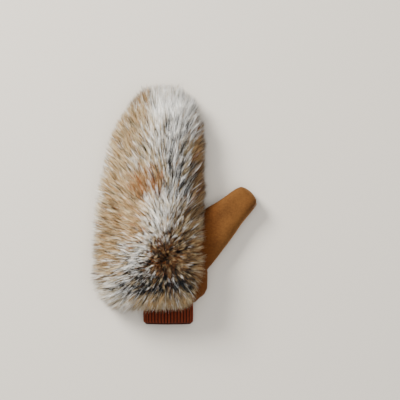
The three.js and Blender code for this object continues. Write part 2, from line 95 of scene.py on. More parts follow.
def smooth_column(rows, names, name):
    """A curve through one column of a table, with no overshoot between its rows."""
    table = np.array(rows, dtype=float)
    at = table[:, names.index("along")]
    value = table[:, names.index(name)]
    rise = np.diff(value) / np.diff(at)
    slope = np.concatenate([rise[:1], np.zeros(len(rise) - 1), rise[-1:]])
    same = rise[:-1] * rise[1:] > 0
    both = rise[:-1] + rise[1:]
    slope[1:-1][same] = 2 * rise[:-1][same] * rise[1:][same] / both[same]

    def curve(along):
        along = np.asarray(along, dtype=float)
        last = np.clip(np.searchsorted(at, along, side="right") - 1, 0, len(rise) - 1)
        width = at[last + 1] - at[last]
        t = (along - at[last]) / width
        step = value[last + 1] - value[last]
        bend = width * t * (1 - t) * ((1 - t) * slope[last] - t * slope[last + 1])
        return value[last] + step * t * t * (3 - 2 * t) + bend

    return curve


shell_curve = {name: smooth_column(SHELL_SECTIONS, SHELL_COLUMNS, name) for name in SHELL_COLUMNS[1:]}


def mix(low, high, share):
    return low + (high - low) * share


def cuff_section(inset):
    """The flattened oval of the knit cuff at the wrist, drawn in by inset."""
    return {
        "left": CUFF_OFFSET - CUFF_WIDTH / 2 + inset,
        "right": CUFF_OFFSET + CUFF_WIDTH / 2 - inset,
        "base": CUFF_LIFT + inset,
        "seam": SEAM_HEIGHT,
        "crown": CUFF_LIFT + CUFF_HEIGHT - inset,
        "edge": CUFF_EDGE,
    }


def shell_section(along, inset):
    """The outline of the hand's pocket at a share of its length, drawn in by inset."""
    swell = shell_curve["swell"](along)
    neck = cuff_section(-max(PELT_WALL, SUEDE_WALL) - SEAM_GAP)
    base = shell_curve["keel"](along) * SEAM_HEIGHT * swell
    crown = mix(neck["crown"], shell_curve["crown"](along) * SHELL_LOFT, swell)
    return {
        "left": mix(neck["left"], -shell_curve["left"](along) * SHELL_WIDTH, swell) + inset,
        "right": mix(neck["right"], shell_curve["right"](along) * SHELL_WIDTH, swell) - inset,
        "base": base + np.minimum(inset, (SEAM_HEIGHT - base) * KEEL_ROOM),
        "seam": SEAM_HEIGHT,
        "crown": np.maximum(crown - inset, SEAM_HEIGHT + LEAST_CROWN),
        "edge": mix(CUFF_EDGE, SHELL_EDGE, swell),
    }


def pocket_outline(section, turn):
    """Points of a pocket's outline: turn 0 to 1 runs over the top, 1 to 2 back under the palm."""
    left, right = section["left"], section["right"]
    base, seam, crown = section["base"], section["seam"], section["crown"]
    middle, half = (left + right) / 2, (right - left) / 2
    angle = np.pi * (1 - np.clip(turn, 0, 1))
    cosine, sine = np.cos(angle), np.maximum(np.sin(angle), 0)
    top_x = middle + half * np.sign(cosine) * np.abs(cosine) ** DOME_ROUND
    top_z = seam + (crown - seam) * sine**DOME_ROUND
    under = np.clip(turn - 1, 0, 1)
    rounding = np.minimum(section["edge"], MOST_ROUNDING * (right - left))
    from_edge = np.minimum(under, 1 - under) / EDGE_TURN
    side = np.where(under < 0.5, 1, -1)
    curl = np.minimum(from_edge, 1) * np.pi / 2
    flat = (under - EDGE_TURN) / (1 - 2 * EDGE_TURN)
    edge_x = middle + side * (half - rounding * (1 - np.cos(curl)))
    under_x = np.where(from_edge >= 1, mix(right - rounding, left + rounding, flat), edge_x)
    under_z = seam - (seam - base) * np.sin(curl)
    over = turn <= 1
    return np.where(over, top_x, under_x), np.where(over, top_z, under_z)


def shell_points(along, turn, inset):
    x, z = pocket_outline(shell_section(along, inset), turn)
    y = -WRIST_REACH + along * (SHELL_LENGTH - inset)
    return np.stack(np.broadcast_arrays(x, y, z), axis=-1)


def unit(vectors):
    return vectors / np.maximum(np.linalg.norm(vectors, axis=-1, keepdims=True), 1e-12)


def surface_normals(grid):
    """Unit normals of a grid of points, out of a pocket whose columns run over the top."""
    return unit(np.cross(np.gradient(grid, axis=1), np.gradient(grid, axis=0)))


def soft_waves(points, wavelength, seed):
    """A smooth random field between about -1 and 1, made of waves that cross each other."""
    random = np.random.default_rng(seed)
    total = np.zeros(points.shape[:-1])
    for _ in range(WAVE_COUNT):
        heading = random.normal(size=3)
        heading /= np.linalg.norm(heading)
        beat = 2 * np.pi / (wavelength * random.uniform(*WAVE_SPREAD))
        total += np.sin(points @ heading * beat + random.uniform(0, 2 * np.pi))
    return total / math.sqrt(WAVE_COUNT)


def new_piece(name, points, faces, material):
    """A mesh object from an array of points and arrays of faces, each of one number of corners."""
    mesh = bpy.data.meshes.new(name)
    corners = np.concatenate([group.ravel() for group in faces])
    sizes = np.concatenate([np.full(len(group), group.shape[1]) for group in faces])
    mesh.vertices.add(len(points))
    mesh.vertices.foreach_set("co", np.asarray(points, dtype=np.float32).ravel())
    mesh.loops.add(len(corners))
    mesh.loops.foreach_set("vertex_index", corners.astype(np.int32))
    mesh.polygons.add(len(sizes))
    mesh.polygons.foreach_set("loop_start", (np.cumsum(sizes) - sizes).astype(np.int32))
    mesh.polygons.foreach_set("use_smooth", np.ones(len(sizes), dtype=bool))
    mesh.update(calc_edges=True)
    mesh.materials.append(material)
    piece = bpy.data.objects.new(name, mesh)
    bpy.context.scene.collection.objects.link(piece)
    return piece


def grid_quads(at):
    """Faces with four corners over a grid of point numbers."""
    return np.stack([at[:-1, :-1], at[:-1, 1:], at[1:, 1:], at[1:, :-1]], axis=-1).reshape(-1, 4)


def wall_mesh(outer, inner):
    """Points and faces of a closed wall between two grids of the same size."""
    rows, columns = outer.shape[:2]
    points = np.concatenate([outer.reshape(-1, 3), inner.reshape(-1, 3)])
    at = np.arange(rows * columns).reshape(rows, columns)
    back = at + rows * columns
    inside = np.stack([back[:-1, :-1], back[1:, :-1], back[1:, 1:], back[:-1, 1:]], axis=-1)
    quads = [
        grid_quads(at),
        inside.reshape(-1, 4),
        np.stack([at[:-1, 0], at[1:, 0], back[1:, 0], back[:-1, 0]], axis=-1),
        np.stack([at[:-1, -1], back[:-1, -1], back[1:, -1], at[1:, -1]], axis=-1),
        np.stack([at[0, :-1], back[0, :-1], back[0, 1:], at[0, 1:]], axis=-1),
        np.stack([at[-1, :-1], at[-1, 1:], back[-1, 1:], back[-1, :-1]], axis=-1),
    ]
    return points, [np.concatenate(quads)]


def seam_turn(along):
    return 1 - shell_curve["wrap"](along)


def eased_rows(count):
    """Shares from 0 to 1 that stand closer together at both ends."""
    t = np.linspace(0, 1, count)
    return mix(t, (1 - np.cos(np.pi * t)) / 2, END_EASING)


def srgb(red, green, blue):
    """A colour as seen, from 0 to 255, in the linear values that a shader takes."""
    shares = [channel / 255 for channel in (red, green, blue)]
    linear = [s / 12.92 if s <= 0.04045 else ((s + 0.055) / 1.055) ** 2.4 for s in shares]
    return (*linear, 1.0)


def new_material(name):
    """A material with its shader, and its lists of nodes and links."""
    material = bpy.data.materials.new(name)
    material.use_nodes = True
    nodes = material.node_tree.nodes
    return material, nodes, material.node_tree.links, nodes["Principled BSDF"]


def new_effect(name, inputs, outputs):
    """A shader node group with named inputs, each a kind and a value, and named outputs, each a kind."""
    group = bpy.data.node_groups.new(name, "ShaderNodeTree")
    for label, (kind, value) in inputs.items():
        socket = group.interface.new_socket(label, in_out="INPUT", socket_type=kind)
        socket.default_value = value
    for label, kind in outputs.items():
        group.interface.new_socket(label, in_out="OUTPUT", socket_type=kind)
    return group, group.nodes.new("NodeGroupInput"), group.nodes.new("NodeGroupOutput")


def set_inputs(node, values):
    for label, value in values.items():
        node.inputs[label].default_value = value


def wire(links, *joints):
    """Joins shader nodes: each joint is a node and its output, then the node and the input it feeds."""
    for source, output, target, socket in joints:
        links.new(source.outputs[output], target.inputs[socket])


def placed_effect(nodes, effect, values):
    """A node group in a material, with its own values."""
    placed = nodes.new("ShaderNodeGroup")
    placed.node_tree = effect
    set_inputs(placed, values)
    return placed


def raise_surface(nodes, links, height, shader, strength, distance):
    """Feeds a node's height output to a shader as bumps."""
    bump = nodes.new("ShaderNodeBump")
    set_inputs(bump, {"Strength": strength, "Distance": distance})
    links.new(height, bump.inputs["Height"])
    links.new(bump.outputs["Normal"], shader.inputs["Normal"])


def noise_node(nodes, scale, detail, roughness=0.5):
    noise = nodes.new("ShaderNodeTexNoise")
    set_inputs(noise, {"Scale": scale, "Detail": detail, "Roughness": roughness})
    return noise


def blend_node(nodes, mode="MIX"):
    blend = nodes.new("ShaderNodeMix")
    blend.data_type = "RGBA"
    blend.blend_type = mode
    return blend


def maths_node(nodes, operation, *values):
    maths = nodes.new("ShaderNodeMath")
    maths.operation = operation
    for socket, value in zip(maths.inputs, values):
        socket.default_value = value
    return maths


FLOAT = "NodeSocketFloat"
COLOUR = "NodeSocketColor"

# The nap is brushed in soft, uneven strokes that lie lighter or darker, with a fine grain of fibres on top.
nap, nap_in, nap_out = new_effect(
    "brushed nap",
    {
        "Light": (COLOUR, (0.5, 0.3, 0.1, 1)),
        "Dark": (COLOUR, (0.2, 0.1, 0.03, 1)),
        "Stroke Scale": (FLOAT, 30.0),
        "Grain Scale": (FLOAT, 500.0),
        "Grain Share": (FLOAT, 0.4),
    },
    {"Color": COLOUR, "Height": FLOAT},
)
nap_place = nap.nodes.new("ShaderNodeTexCoord")
nap_strokes = noise_node(nap.nodes, 30, 5, 0.6)
nap_grain = noise_node(nap.nodes, 500, 3, 0.75)
nap_shade = nap.nodes.new("ShaderNodeMix")
nap_spread = nap.nodes.new("ShaderNodeMapRange")
set_inputs(nap_spread, {"From Min": 0.33, "From Max": 0.67})
nap_colour = blend_node(nap.nodes)
wire(
    nap.links,
    (nap_place, "Object", nap_strokes, "Vector"),
    (nap_place, "Object", nap_grain, "Vector"),
    (nap_in, "Stroke Scale", nap_strokes, "Scale"),
    (nap_in, "Grain Scale", nap_grain, "Scale"),
    (nap_in, "Grain Share", nap_shade, "Factor"),
    (nap_strokes, "Fac", nap_shade, "A"),
    (nap_grain, "Fac", nap_shade, "B"),
    (nap_shade, "Result", nap_spread, "Value"),
    (nap_spread, "Result", nap_colour, "Factor"),
    (nap_in, "Dark", nap_colour, "A"),
    (nap_in, "Light", nap_colour, "B"),
    (nap_colour, "Result", nap_out, "Color"),
    (nap_grain, "Fac", nap_out, "Height"),
)

# Painted shade: the suede is painted a deeper, redder tan on the fur's side of a line across the hand,
# standing in for the fur's shadow and the warm light bounced under it.
PAINTED_SHADE_FADE = 0.028
painted_shade_effect, painted_shade_in, painted_shade_out = new_effect(
    "painted shade under the fur",
    {
        "Color": (COLOUR, (0.5, 0.3, 0.1, 1)),
        "Tint": (COLOUR, (0.75, 0.6, 0.5, 1)),
        "From": (FLOAT, 0.0),
        "To": (FLOAT, 0.1),
    },
    {"Color": COLOUR},
)
painted_shade_place = painted_shade_effect.nodes.new("ShaderNodeTexCoord")
painted_shade_split = painted_shade_effect.nodes.new("ShaderNodeSeparateXYZ")
painted_shade_reach = painted_shade_effect.nodes.new("ShaderNodeMapRange")
painted_shade_reach.interpolation_type = "SMOOTHSTEP"
set_inputs(painted_shade_reach, {"To Min": 1, "To Max": 0})
painted_shade_mix = blend_node(painted_shade_effect.nodes, "MULTIPLY")
wire(
    painted_shade_effect.links,
    (painted_shade_place, "Object", painted_shade_split, "Vector"),
    (painted_shade_split, "X", painted_shade_reach, "Value"),
    (painted_shade_in, "From", painted_shade_reach, "From Min"),
    (painted_shade_in, "To", painted_shade_reach, "From Max"),
    (painted_shade_reach, "Result", painted_shade_mix, "Factor"),
    (painted_shade_in, "Color", painted_shade_mix, "A"),
    (painted_shade_in, "Tint", painted_shade_mix, "B"),
    (painted_shade_mix, "Result", painted_shade_out, "Color"),
)


def suede(name, light, dark, painted_shade_to):
    """Matt tan suede with brushed nap and a soft sheen, painted a deeper, redder tan for shade up to the x
    given by its last argument.
    """
    material, nodes, links, shader = new_material(name)
    nap_values = {"Light": light, "Dark": dark, "Stroke Scale": 45, "Grain Scale": 450, "Grain Share": 0.5}
    brushed = placed_effect(nodes, nap, nap_values)
    # Painted shade: the suede is tinted deeper and redder on the fur's side, fading out over the last
    # stretch.
    painted_shade_values = {"Tint": (0.8, 0.6, 0.42, 1), "From": painted_shade_to - PAINTED_SHADE_FADE, "To": painted_shade_to}
    painted_shade_node = placed_effect(nodes, painted_shade_effect, painted_shade_values)
    wire(links, (brushed, "Color", painted_shade_node, "Color"), (painted_shade_node, "Color", shader, "Base Color"))
    raise_surface(nodes, links, brushed.outputs["Height"], shader, 0.35, 0.0004)
    set_inputs(shader, {"Roughness": 0.92, "Specular IOR Level": 0.12, "Sheen Weight": 0.2})
    set_inputs(shader, {"Sheen Roughness": 0.4, "Sheen Tint": srgb(226, 170, 110)})
    return material


# The palm and the thumb share this suede, with painted shade up to 85 mm across.
palm_suede_material = suede("palm suede", srgb(106, 69, 32), srgb(76, 46, 20), 0.085)

palm_along = eased_rows(PALM_ROWS)[:, None]
wrap_share = np.linspace(0, 1, PALM_WRAP_COLUMNS, endpoint=False)
under_share = np.concatenate(
    [
        np.linspace(0, EDGE_TURN, PALM_EDGE_COLUMNS, endpoint=False),
        np.linspace(EDGE_TURN, 1 - EDGE_TURN, PALM_FLAT_COLUMNS, endpoint=False),
        np.linspace(1 - EDGE_TURN, 1, PALM_EDGE_COLUMNS),
    ]
)
palm_turn = np.concatenate(
    [
        mix(seam_turn(palm_along), 1, wrap_share[None, :]),
        np.broadcast_to(1 + under_share, (PALM_ROWS, len(under_share))),
    ],
    axis=1,
)


def dressed_suede(along, turn):
    """The palm's outer face, with a soft uneven swell and small gathers where it joins the cuff."""
    grid = shell_points(along, turn, 0)
    normal = surface_normals(grid)
    reach = along * SHELL_LENGTH
    girth = np.cumsum(np.linalg.norm(np.diff(grid, axis=1, prepend=grid[:, :1]), axis=-1), axis=1)
    gathers = -GATHER_DEPTH * (1 + np.cos(girth * 2 * np.pi / GATHER_PITCH)) / 2
    gathers = gathers * np.exp(-((reach / GATHER_REACH) ** 2))
    clear_of_floor = np.clip((grid[..., 2] - FLOOR_GAP) / FLOOR_FADE, 0, 1)
    swell = NAP_SWELL * (soft_waves(grid, NAP_WAVES, NAP_SEED) - 1)
    return grid + normal * (gathers + swell * clear_of_floor)[..., None]


palm_outer = dressed_suede(palm_along, palm_turn)
palm_inner = shell_points(palm_along, palm_turn, SUEDE_WALL)
palm_suede = new_piece("palm_suede", *wall_mesh(palm_outer, palm_inner), palm_suede_material)
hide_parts("palm")
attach(palm_suede, "root")

# Suede thumb
# The thumb is a stuffed-looking tube of the same suede, cut as one folded panel and sewn shut along its
# outer edge. Its root is let into the palm, so the hand's pocket runs on into it.
THUMB_LENGTH = 0.127
THUMB_WIDTH = 0.062
THUMB_LOFT = 0.032
THUMB_ANGLE = math.radians(46)
THUMB_ROOT = (0.03, -0.081)
THUMB_TIP_LIFT = 0.005
THUMB_ROUND = 0.62
THUMB_COLUMNS = ("along", "upper", "lower", "loft")
THUMB_SECTIONS = (
    (0.0, 0.58, 0.48, 1.0),
    (0.13, 0.56, 0.46, 1.0),
    (0.42, 0.5, 0.394, 0.96),
    (0.565, 0.445, 0.355, 0.91),
    (0.72, 0.352, 0.303, 0.86),
    (0.91, 0.28, 0.271, 0.8),
    (0.965, 0.235, 0.235, 0.68),
    (0.99, 0.16, 0.175, 0.48),
    (1.0, 0.07, 0.08, 0.28),
)
THUMB_ROWS = 120
THUMB_RING = 96
BORE_LIFT = 0.001
TIP_LIFT_BEND = 6
LEAST_LOFT = 0.001
THUMB_SWELL = 1.4 * NAP_SWELL
THUMB_WAVES = 0.028
THUMB_SEED = 9
THUMB_SINK = 1.2
THUMB_FLOOR_FADE = 0.005
thumb_curve = {
    name: smooth_column(THUMB_SECTIONS, THUMB_COLUMNS, name) for name in THUMB_COLUMNS[1:]
}
thumb_axis = np.array([math.cos(THUMB_ANGLE), math.sin(THUMB_ANGLE), 0])
thumb_side = np.array([-thumb_axis[1], thumb_axis[0], 0])


def thumb_points(along, angle, inset):
    upper = thumb_curve["upper"](along) * THUMB_WIDTH - inset
    lower = thumb_curve["lower"](along) * THUMB_WIDTH - inset
    high = thumb_curve["loft"](along) * THUMB_LOFT / 2
    lift = THUMB_TIP_LIFT * along**TIP_LIFT_BEND
    cosine, sine = np.cos(angle), np.sin(angle)
    round_cosine = np.sign(cosine) * np.abs(cosine) ** THUMB_ROUND
    round_sine = np.sign(sine) * np.abs(sine) ** THUMB_ROUND
    across = mix(-lower, upper, (1 + round_cosine) / 2)
    height = np.maximum(high - inset, LEAST_LOFT) * round_sine
    z = np.maximum(high + lift + height, max(inset, 0))
    root = np.array([*THUMB_ROOT, 0])
    reach = (along * (THUMB_LENGTH - inset))[..., None]
    flat = root + reach * thumb_axis + across[..., None] * thumb_side
    flat[..., 2] = z
    return flat


def ring_quads(rows, columns):
    """Faces with four corners between rings of points, one ring a row."""
    at = np.arange(rows * columns).reshape(rows, columns)
    return grid_quads(np.pad(at, ((0, 0), (0, 1)), mode="wrap"))


def tube_mesh(grid):
    """Points and faces of a closed solid through rings of points, one ring a row."""
    rows, columns = grid.shape[:2]
    ring = np.arange(columns)
    turned = np.roll(ring, -1)
    top = (rows - 1) * columns
    ends = np.array([grid[0].mean(axis=0), grid[-1].mean(axis=0)])
    first = rows * columns
    caps = [
        np.stack([turned, ring, np.full(columns, first)], axis=-1),
        np.stack([top + ring, top + turned, np.full(columns, first + 1)], axis=-1),
    ]
    points = np.concatenate([grid.reshape(-1, 3), ends])
    return points, [ring_quads(rows, columns), np.concatenate(caps)]


def cut(piece, *tools):
    """Cuts closed tool pieces out of a piece and deletes them."""
    for tool in tools:
        cutter = piece.modifiers.new("cut", "BOOLEAN")
        cutter.operation = "DIFFERENCE"
        cutter.solver = "EXACT"
        cutter.object = tool
    bpy.context.view_layer.update()
    shaped = piece.evaluated_get(bpy.context.evaluated_depsgraph_get())
    old = piece.data
    piece.data = bpy.data.meshes.new_from_object(shaped)
    piece.modifiers.clear()
    bpy.data.meshes.remove(old)
    for tool in tools:
        bpy.data.objects.remove(tool)


thumb_along = eased_rows(THUMB_ROWS)[:, None]
thumb_angle = np.linspace(0, 2 * np.pi, THUMB_RING, endpoint=False)[None, :]


def thumb_rings(along, inset):
    return thumb_points(along + 0 * thumb_angle, thumb_angle + 0 * along, inset)


thumb_grid = thumb_rings(thumb_along, 0)
thumb_swell = THUMB_SWELL * (soft_waves(thumb_grid, THUMB_WAVES, THUMB_SEED) - THUMB_SINK)
thumb_normal = surface_normals(np.concatenate([thumb_grid, thumb_grid[:, :1]], axis=1))[:, :-1]
thumb_above = np.clip((thumb_grid[..., 2] - FLOOR_GAP) / THUMB_FLOOR_FADE, 0, 1)
thumb_grid = thumb_grid + thumb_normal * (thumb_swell * thumb_above)[..., None]
thumb_bore = thumb_rings(thumb_along[::2], SUEDE_WALL)

BLOCK_ROWS = 90
BLOCK_TOP_COLUMNS = 60
block_turns = np.concatenate([np.linspace(0, 1, BLOCK_TOP_COLUMNS, endpoint=False), 1 + under_share[:-1]])


def shell_block(name, inset):
    """The hand's pocket as a solid block, to cut the thumb's root with."""
    along = eased_rows(BLOCK_ROWS)[:, None]
    grid = shell_points(along, block_turns[None, :] + 0 * along, inset)
    return new_piece(name, *tube_mesh(grid), palm_suede_material)


thumb_suede = new_piece("thumb_suede", *tube_mesh(thumb_grid), palm_suede_material)
cut(
    thumb_suede,
    new_piece("thumb_bore", *tube_mesh(thumb_bore), palm_suede_material),
    shell_block("hand_block", -SEAM_GAP),
)
palm_bore = new_piece("palm_bore", *tube_mesh(thumb_bore + [0, 0, BORE_LIFT]), palm_suede_material)
cut(palm_suede, palm_bore)

# The folded panel's two cut edges meet in a raw seam along the thumb's outer side. They stand a little
# proud, show the paler inside of the suede, and are held by whipped stitches of waxed thread.
SEAM_START = 0.17
SEAM_END = 0.955
SEAM_POINTS = 120
SEAM_RADIUS = 0.0007
SEAM_SINK = 0.4 * SEAM_RADIUS
STITCH_PITCH = 0.0032
STITCH_RADIUS = 0.00022
STITCH_SLANT = 0.4 * STITCH_PITCH
STITCH_SWEEP = (-0.45, 0.75)
ROD_END_SHARE = 0.12
ROD_END_BEND = 0.3
ROD_SPARE = (0.3, 0.2, 0.9)


def seam_frame(along):
    """Points on the thumb's outer side with the directions along, out of and up from the seam."""
    angle = np.full(len(along), np.pi)
    point = thumb_points(along, angle, 0)
    ahead = unit(np.gradient(point, axis=0))
    up = np.tile([0.0, 0.0, 1.0], (len(along), 1))
    return point, ahead, unit(np.cross(ahead, up)), up


def ring_round(across, other, sides):
    """Circles of unit points, one for each pair of directions."""
    turn = np.arange(sides) * 2 * np.pi / sides
    return np.cos(turn)[:, None] * across[..., None, :] + np.sin(turn)[:, None] * other[..., None, :]


def rod(path, radius, sides):
    """A closed rounded rod along a path: rings of points with closed ends."""
    ahead = unit(np.gradient(path, axis=0))
    across = unit(np.cross(ahead, ROD_SPARE))
    share = np.linspace(ROD_END_SHARE, 1 - ROD_END_SHARE, len(path))
    thick = radius * np.sin(np.pi * share) ** ROD_END_BEND
    ring = ring_round(across, np.cross(ahead, across), sides)
    return tube_mesh(path[:, None] + ring * thick[:, None, None])


def joined(meshes):
    """Several point and face lists as one."""
    points, groups, first = [], [], 0
    for part_points, part_faces in meshes:
        points.append(part_points)
        groups.extend(faces + first for faces in part_faces)
        first += len(part_points)
    return np.concatenate(points), groups


seam_point, seam_ahead, seam_out, seam_up = seam_frame(np.linspace(SEAM_START, SEAM_END, SEAM_POINTS))
# The raw edge gets the same painted shade, a deeper, redder tan up to 60 mm across.
raw_edge_material = suede("raw suede edge", srgb(162, 116, 72), srgb(118, 76, 39), 0.06)
seam_mesh = rod(seam_point - seam_out * SEAM_SINK, SEAM_RADIUS, 8)
thumb_seam = new_piece("thumb_seam", *seam_mesh, raw_edge_material)
thread_material, thread_nodes, thread_links, thread_shader = new_material("waxed thread")
thread_shade = noise_node(thread_nodes, 1500, 2)
thread_colour = blend_node(thread_nodes)
set_inputs(thread_colour, {"A": srgb(120, 76, 36), "B": srgb(196, 150, 100)})
set_inputs(thread_shader, {"Roughness": 0.55})
wire(
    thread_links,
    (thread_shade, "Fac", thread_colour, "Factor"),
    (thread_colour, "Result", thread_shader, "Base Color"),
)
stitch_count = int((SEAM_END - SEAM_START) * THUMB_LENGTH / STITCH_PITCH)
stitch_sweep = np.pi * np.linspace(*STITCH_SWEEP, 7)[:, None]
stitch_rods = []
for stitch in range(stitch_count):
    at = (stitch + 0.5) / stitch_count * (len(seam_point) - 1)
    low = int(at)
    centre = mix(seam_point[low], seam_point[low + 1], at - low) - seam_out[low] * SEAM_SINK
    over = np.cos(stitch_sweep) * seam_out[low] + np.sin(stitch_sweep) * seam_up[low]
    slant = seam_ahead[low] * (stitch_sweep / np.pi) * STITCH_SLANT
    path = centre + over * (SEAM_RADIUS + STITCH_RADIUS / 2) + slant
    stitch_rods.append(rod(path, STITCH_RADIUS, 5))
thumb_stitches = new_piece("thumb_stitches", *joined(stitch_rods), thread_material)

for piece in (thumb_suede, thumb_seam, thumb_stitches):
    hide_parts("thumb")
    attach(piece, "root")

# Fur backing
# The fur's own skin is a thin knitted backing that closes the back of the hand, from the little finger's
# seam over to the edge of the suede. The pile hides it from every side.
BACKING_ROWS = 80
BACKING_COLUMNS = 50
BACKING_MARGIN = 0.002
backing_material, backing_nodes, backing_links, backing_shader = new_material("fur backing")
set_inputs(backing_shader, {"Base Color": srgb(92, 80, 66), "Roughness": 0.95})
backing_grain = noise_node(backing_nodes, 900, 3)
raise_surface(backing_nodes, backing_links, backing_grain.outputs["Fac"], backing_shader, 0.5, 0.0006)
backing_along = eased_rows(BACKING_ROWS)[:, None]
backing_turn = np.linspace(0, 1, BACKING_COLUMNS)[None, :] * (seam_turn(backing_along) - BACKING_MARGIN)
backing_lift = np.array([0, 0, SEAM_GAP])
fur_backing = new_piece(
    "fur_backing",
    *wall_mesh(
        shell_points(backing_along, backing_turn, 0) + backing_lift,
        shell_points(backing_along, backing_turn, PELT_WALL) + backing_lift,
    ),
    backing_material,
)
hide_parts("fur_back")
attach(fur_backing, "root")

# Fur pile
# Long banded hairs stand out of the backing in fine clumps. They part from a whorl above the wrist, lie
# towards the fingertips and the sides, and hang over the seams and the top of the cuff.
PILE_SEED = 2024
WHORL = np.array([0.0065, -0.075])
PARTING_SHIFT = 0.0105
PARTING_REACH = 0.13
LEFT_PARTING = 1.5
RIGHT_PARTING = (1.2, 4.0)
# The parting closes round the fingertips.
TIP_CLOSING = 0.9
LEAST_LEAN = math.radians(8)
MOST_LEAN = math.radians(62)
EDGE_LEAN = math.radians(42)
LEAN_REACH = 0.062
DROOP = 1.3
RIM_DROOP = 0.7
RIM_LEAN = math.radians(76)
WHORL_SHORTENING = 0.26
WHORL_PULL = 0.4
# The pile is longest where it hangs over the little finger's side of the wrist.
CORNER = np.array([-0.055, -0.115])
CORNER_SPREAD = 0.032
CORNER_GAIN = 0.25
PILE_LENGTH = 0.032
LOCK_SPACING = 0.009
LOCK_SWIRL = 0.14
LOCK_LIFT = 0.1
STREAK_SPACING = 0.0013
CLUMP_SPACING = 0.0011
GUARD_SPACING = 0.0030
PILE_FLOOR = 0.0009
PILE_HIGH = np.array([0.0, 0.1495, 0.068])
# How far the pile reaches on the little finger's side and on the thumb's, from the wrist to the fingertips
LITTLE_ALONG = (-0.145, -0.130, -0.117, -0.091, -0.058, -0.026, 0.0065, 0.039, 0.0715, 0.104, 0.13, 0.15)
LITTLE_REACH = (
    -0.064, -0.080, -0.085, -0.0865, -0.0865, -0.085, -0.080, -0.0745, -0.066, -0.054, -0.037, -0.022,
)
THUMB_ALONG = (
    -0.136, -0.123, -0.107, -0.084, -0.032, -0.010, 0.013, 0.032, 0.055, 0.075, 0.104, 0.12, 0.136, 0.145,
)
THUMB_REACH = (
    0.046, 0.052, 0.057, 0.0585, 0.0585, 0.0565, 0.059, 0.056, 0.057, 0.060, 0.055, 0.0515, 0.043, 0.030,
)
RAGGED_REACH = 0.0022
RAGGED_SPACING = 0.010
RAGGED_SEED = 31
# The hem of the pile over the wrist: how far towards the viewer it hangs, from the little finger's side
HEM_ACROSS = (-0.088, -0.084, -0.070, -0.056, -0.025, 0.034, 0.0455, 0.052, 0.0615)
HEM_REACH = (-0.112, -0.123, -0.1385, -0.1415, -0.138, -0.1355, -0.131, -0.118, -0.100)
HEM_SCATTER = 0.0018
# The longest hairs are trimmed to wisps that stand past those edges, more to the sides than upwards.
WISP_REACH = 0.0026
WISP_LEAST = 0.12
WISP_TAIL = 0.36
WISP_MOST = 0.0105
WISP_SHAPE = np.array([1, 1, 0.3])
LEAST_ROOM = 0.002
LEAST_TRIM = 0.25
BEND_START = 0.62
BEND_GAIN = 0.62
SWIRL_GAIN = 1.4
# How far the lean, length and sideways swirl vary between streaks, between clumps and between single hairs
STREAK_SCATTER = (0.1, 0.1, 0.13)
CLUMP_SCATTER = (0.03, 0.05, 0.04)
HAIR_SCATTER = (0.07, 0.09, 0.13)
STREAK_SHADE = (0.5, 0.28)
HAIR_SHADE = 0.12
STRAY_REACH = 1.2
STRAY_PULL = 0.35
PULL_EASE = 1.4
PULL_BEND = 1.3
THICKNESS = (0.75, 1.25)
STEEP = 0.8
HAIR_SIDES = 3
LAST_SHADE = 0.999
STREAK_LEVELS = (0, 0.75)
KINDS = ("white", "cream", "tan", "rust", "brown", "black_tip", "slate")
SHADES = 12

# Bands of colour from root to tip, one row for each kind of hair: the share of its length and the colour.
# The dark lower bands are partly the hairs' own banding and partly painted shade deep in the pile.
HAIR_BANDS = {
    "white": ((0, (104, 98, 90)), (0.3, (176, 169, 158)), (0.5, (244, 241, 234)), (1, (255, 254, 251))),
    "cream": ((0, (56, 45, 33)), (0.38, (112, 92, 67)), (0.62, (188, 168, 131)), (1, (208, 191, 157))),
    "tan": ((0, (49, 35, 22)), (0.4, (101, 76, 47)), (0.64, (166, 133, 90)), (1, (163, 131, 89))),
    "rust": ((0, (40, 24, 15)), (0.42, (90, 52, 24)), (0.66, (149, 90, 43)), (1, (123, 74, 38))),
    "brown": ((0, (26, 18, 12)), (0.4, (58, 40, 26)), (0.64, (106, 73, 45)), (1, (91, 62, 38))),
    "black_tip": ((0, (63, 58, 52)), (0.4, (136, 128, 117)), (0.56, (50, 43, 37)), (0.7, (10, 9, 8))),
    "slate": ((0, (22, 22, 24)), (0.45, (50, 52, 56)), (0.7, (27, 29, 33)), (1, (8, 8, 10))),
}
BASE_MIX = {"white": 0.12, "cream": 0.46, "tan": 0.2, "rust": 0.01, "black_tip": 0.16, "slate": 0.05}
GUARD_MIX = {
    "white": 0.15, "cream": 0.15, "tan": 0.1, "rust": 0.02, "brown": 0.1, "black_tip": 0.8, "slate": 0.3,
}

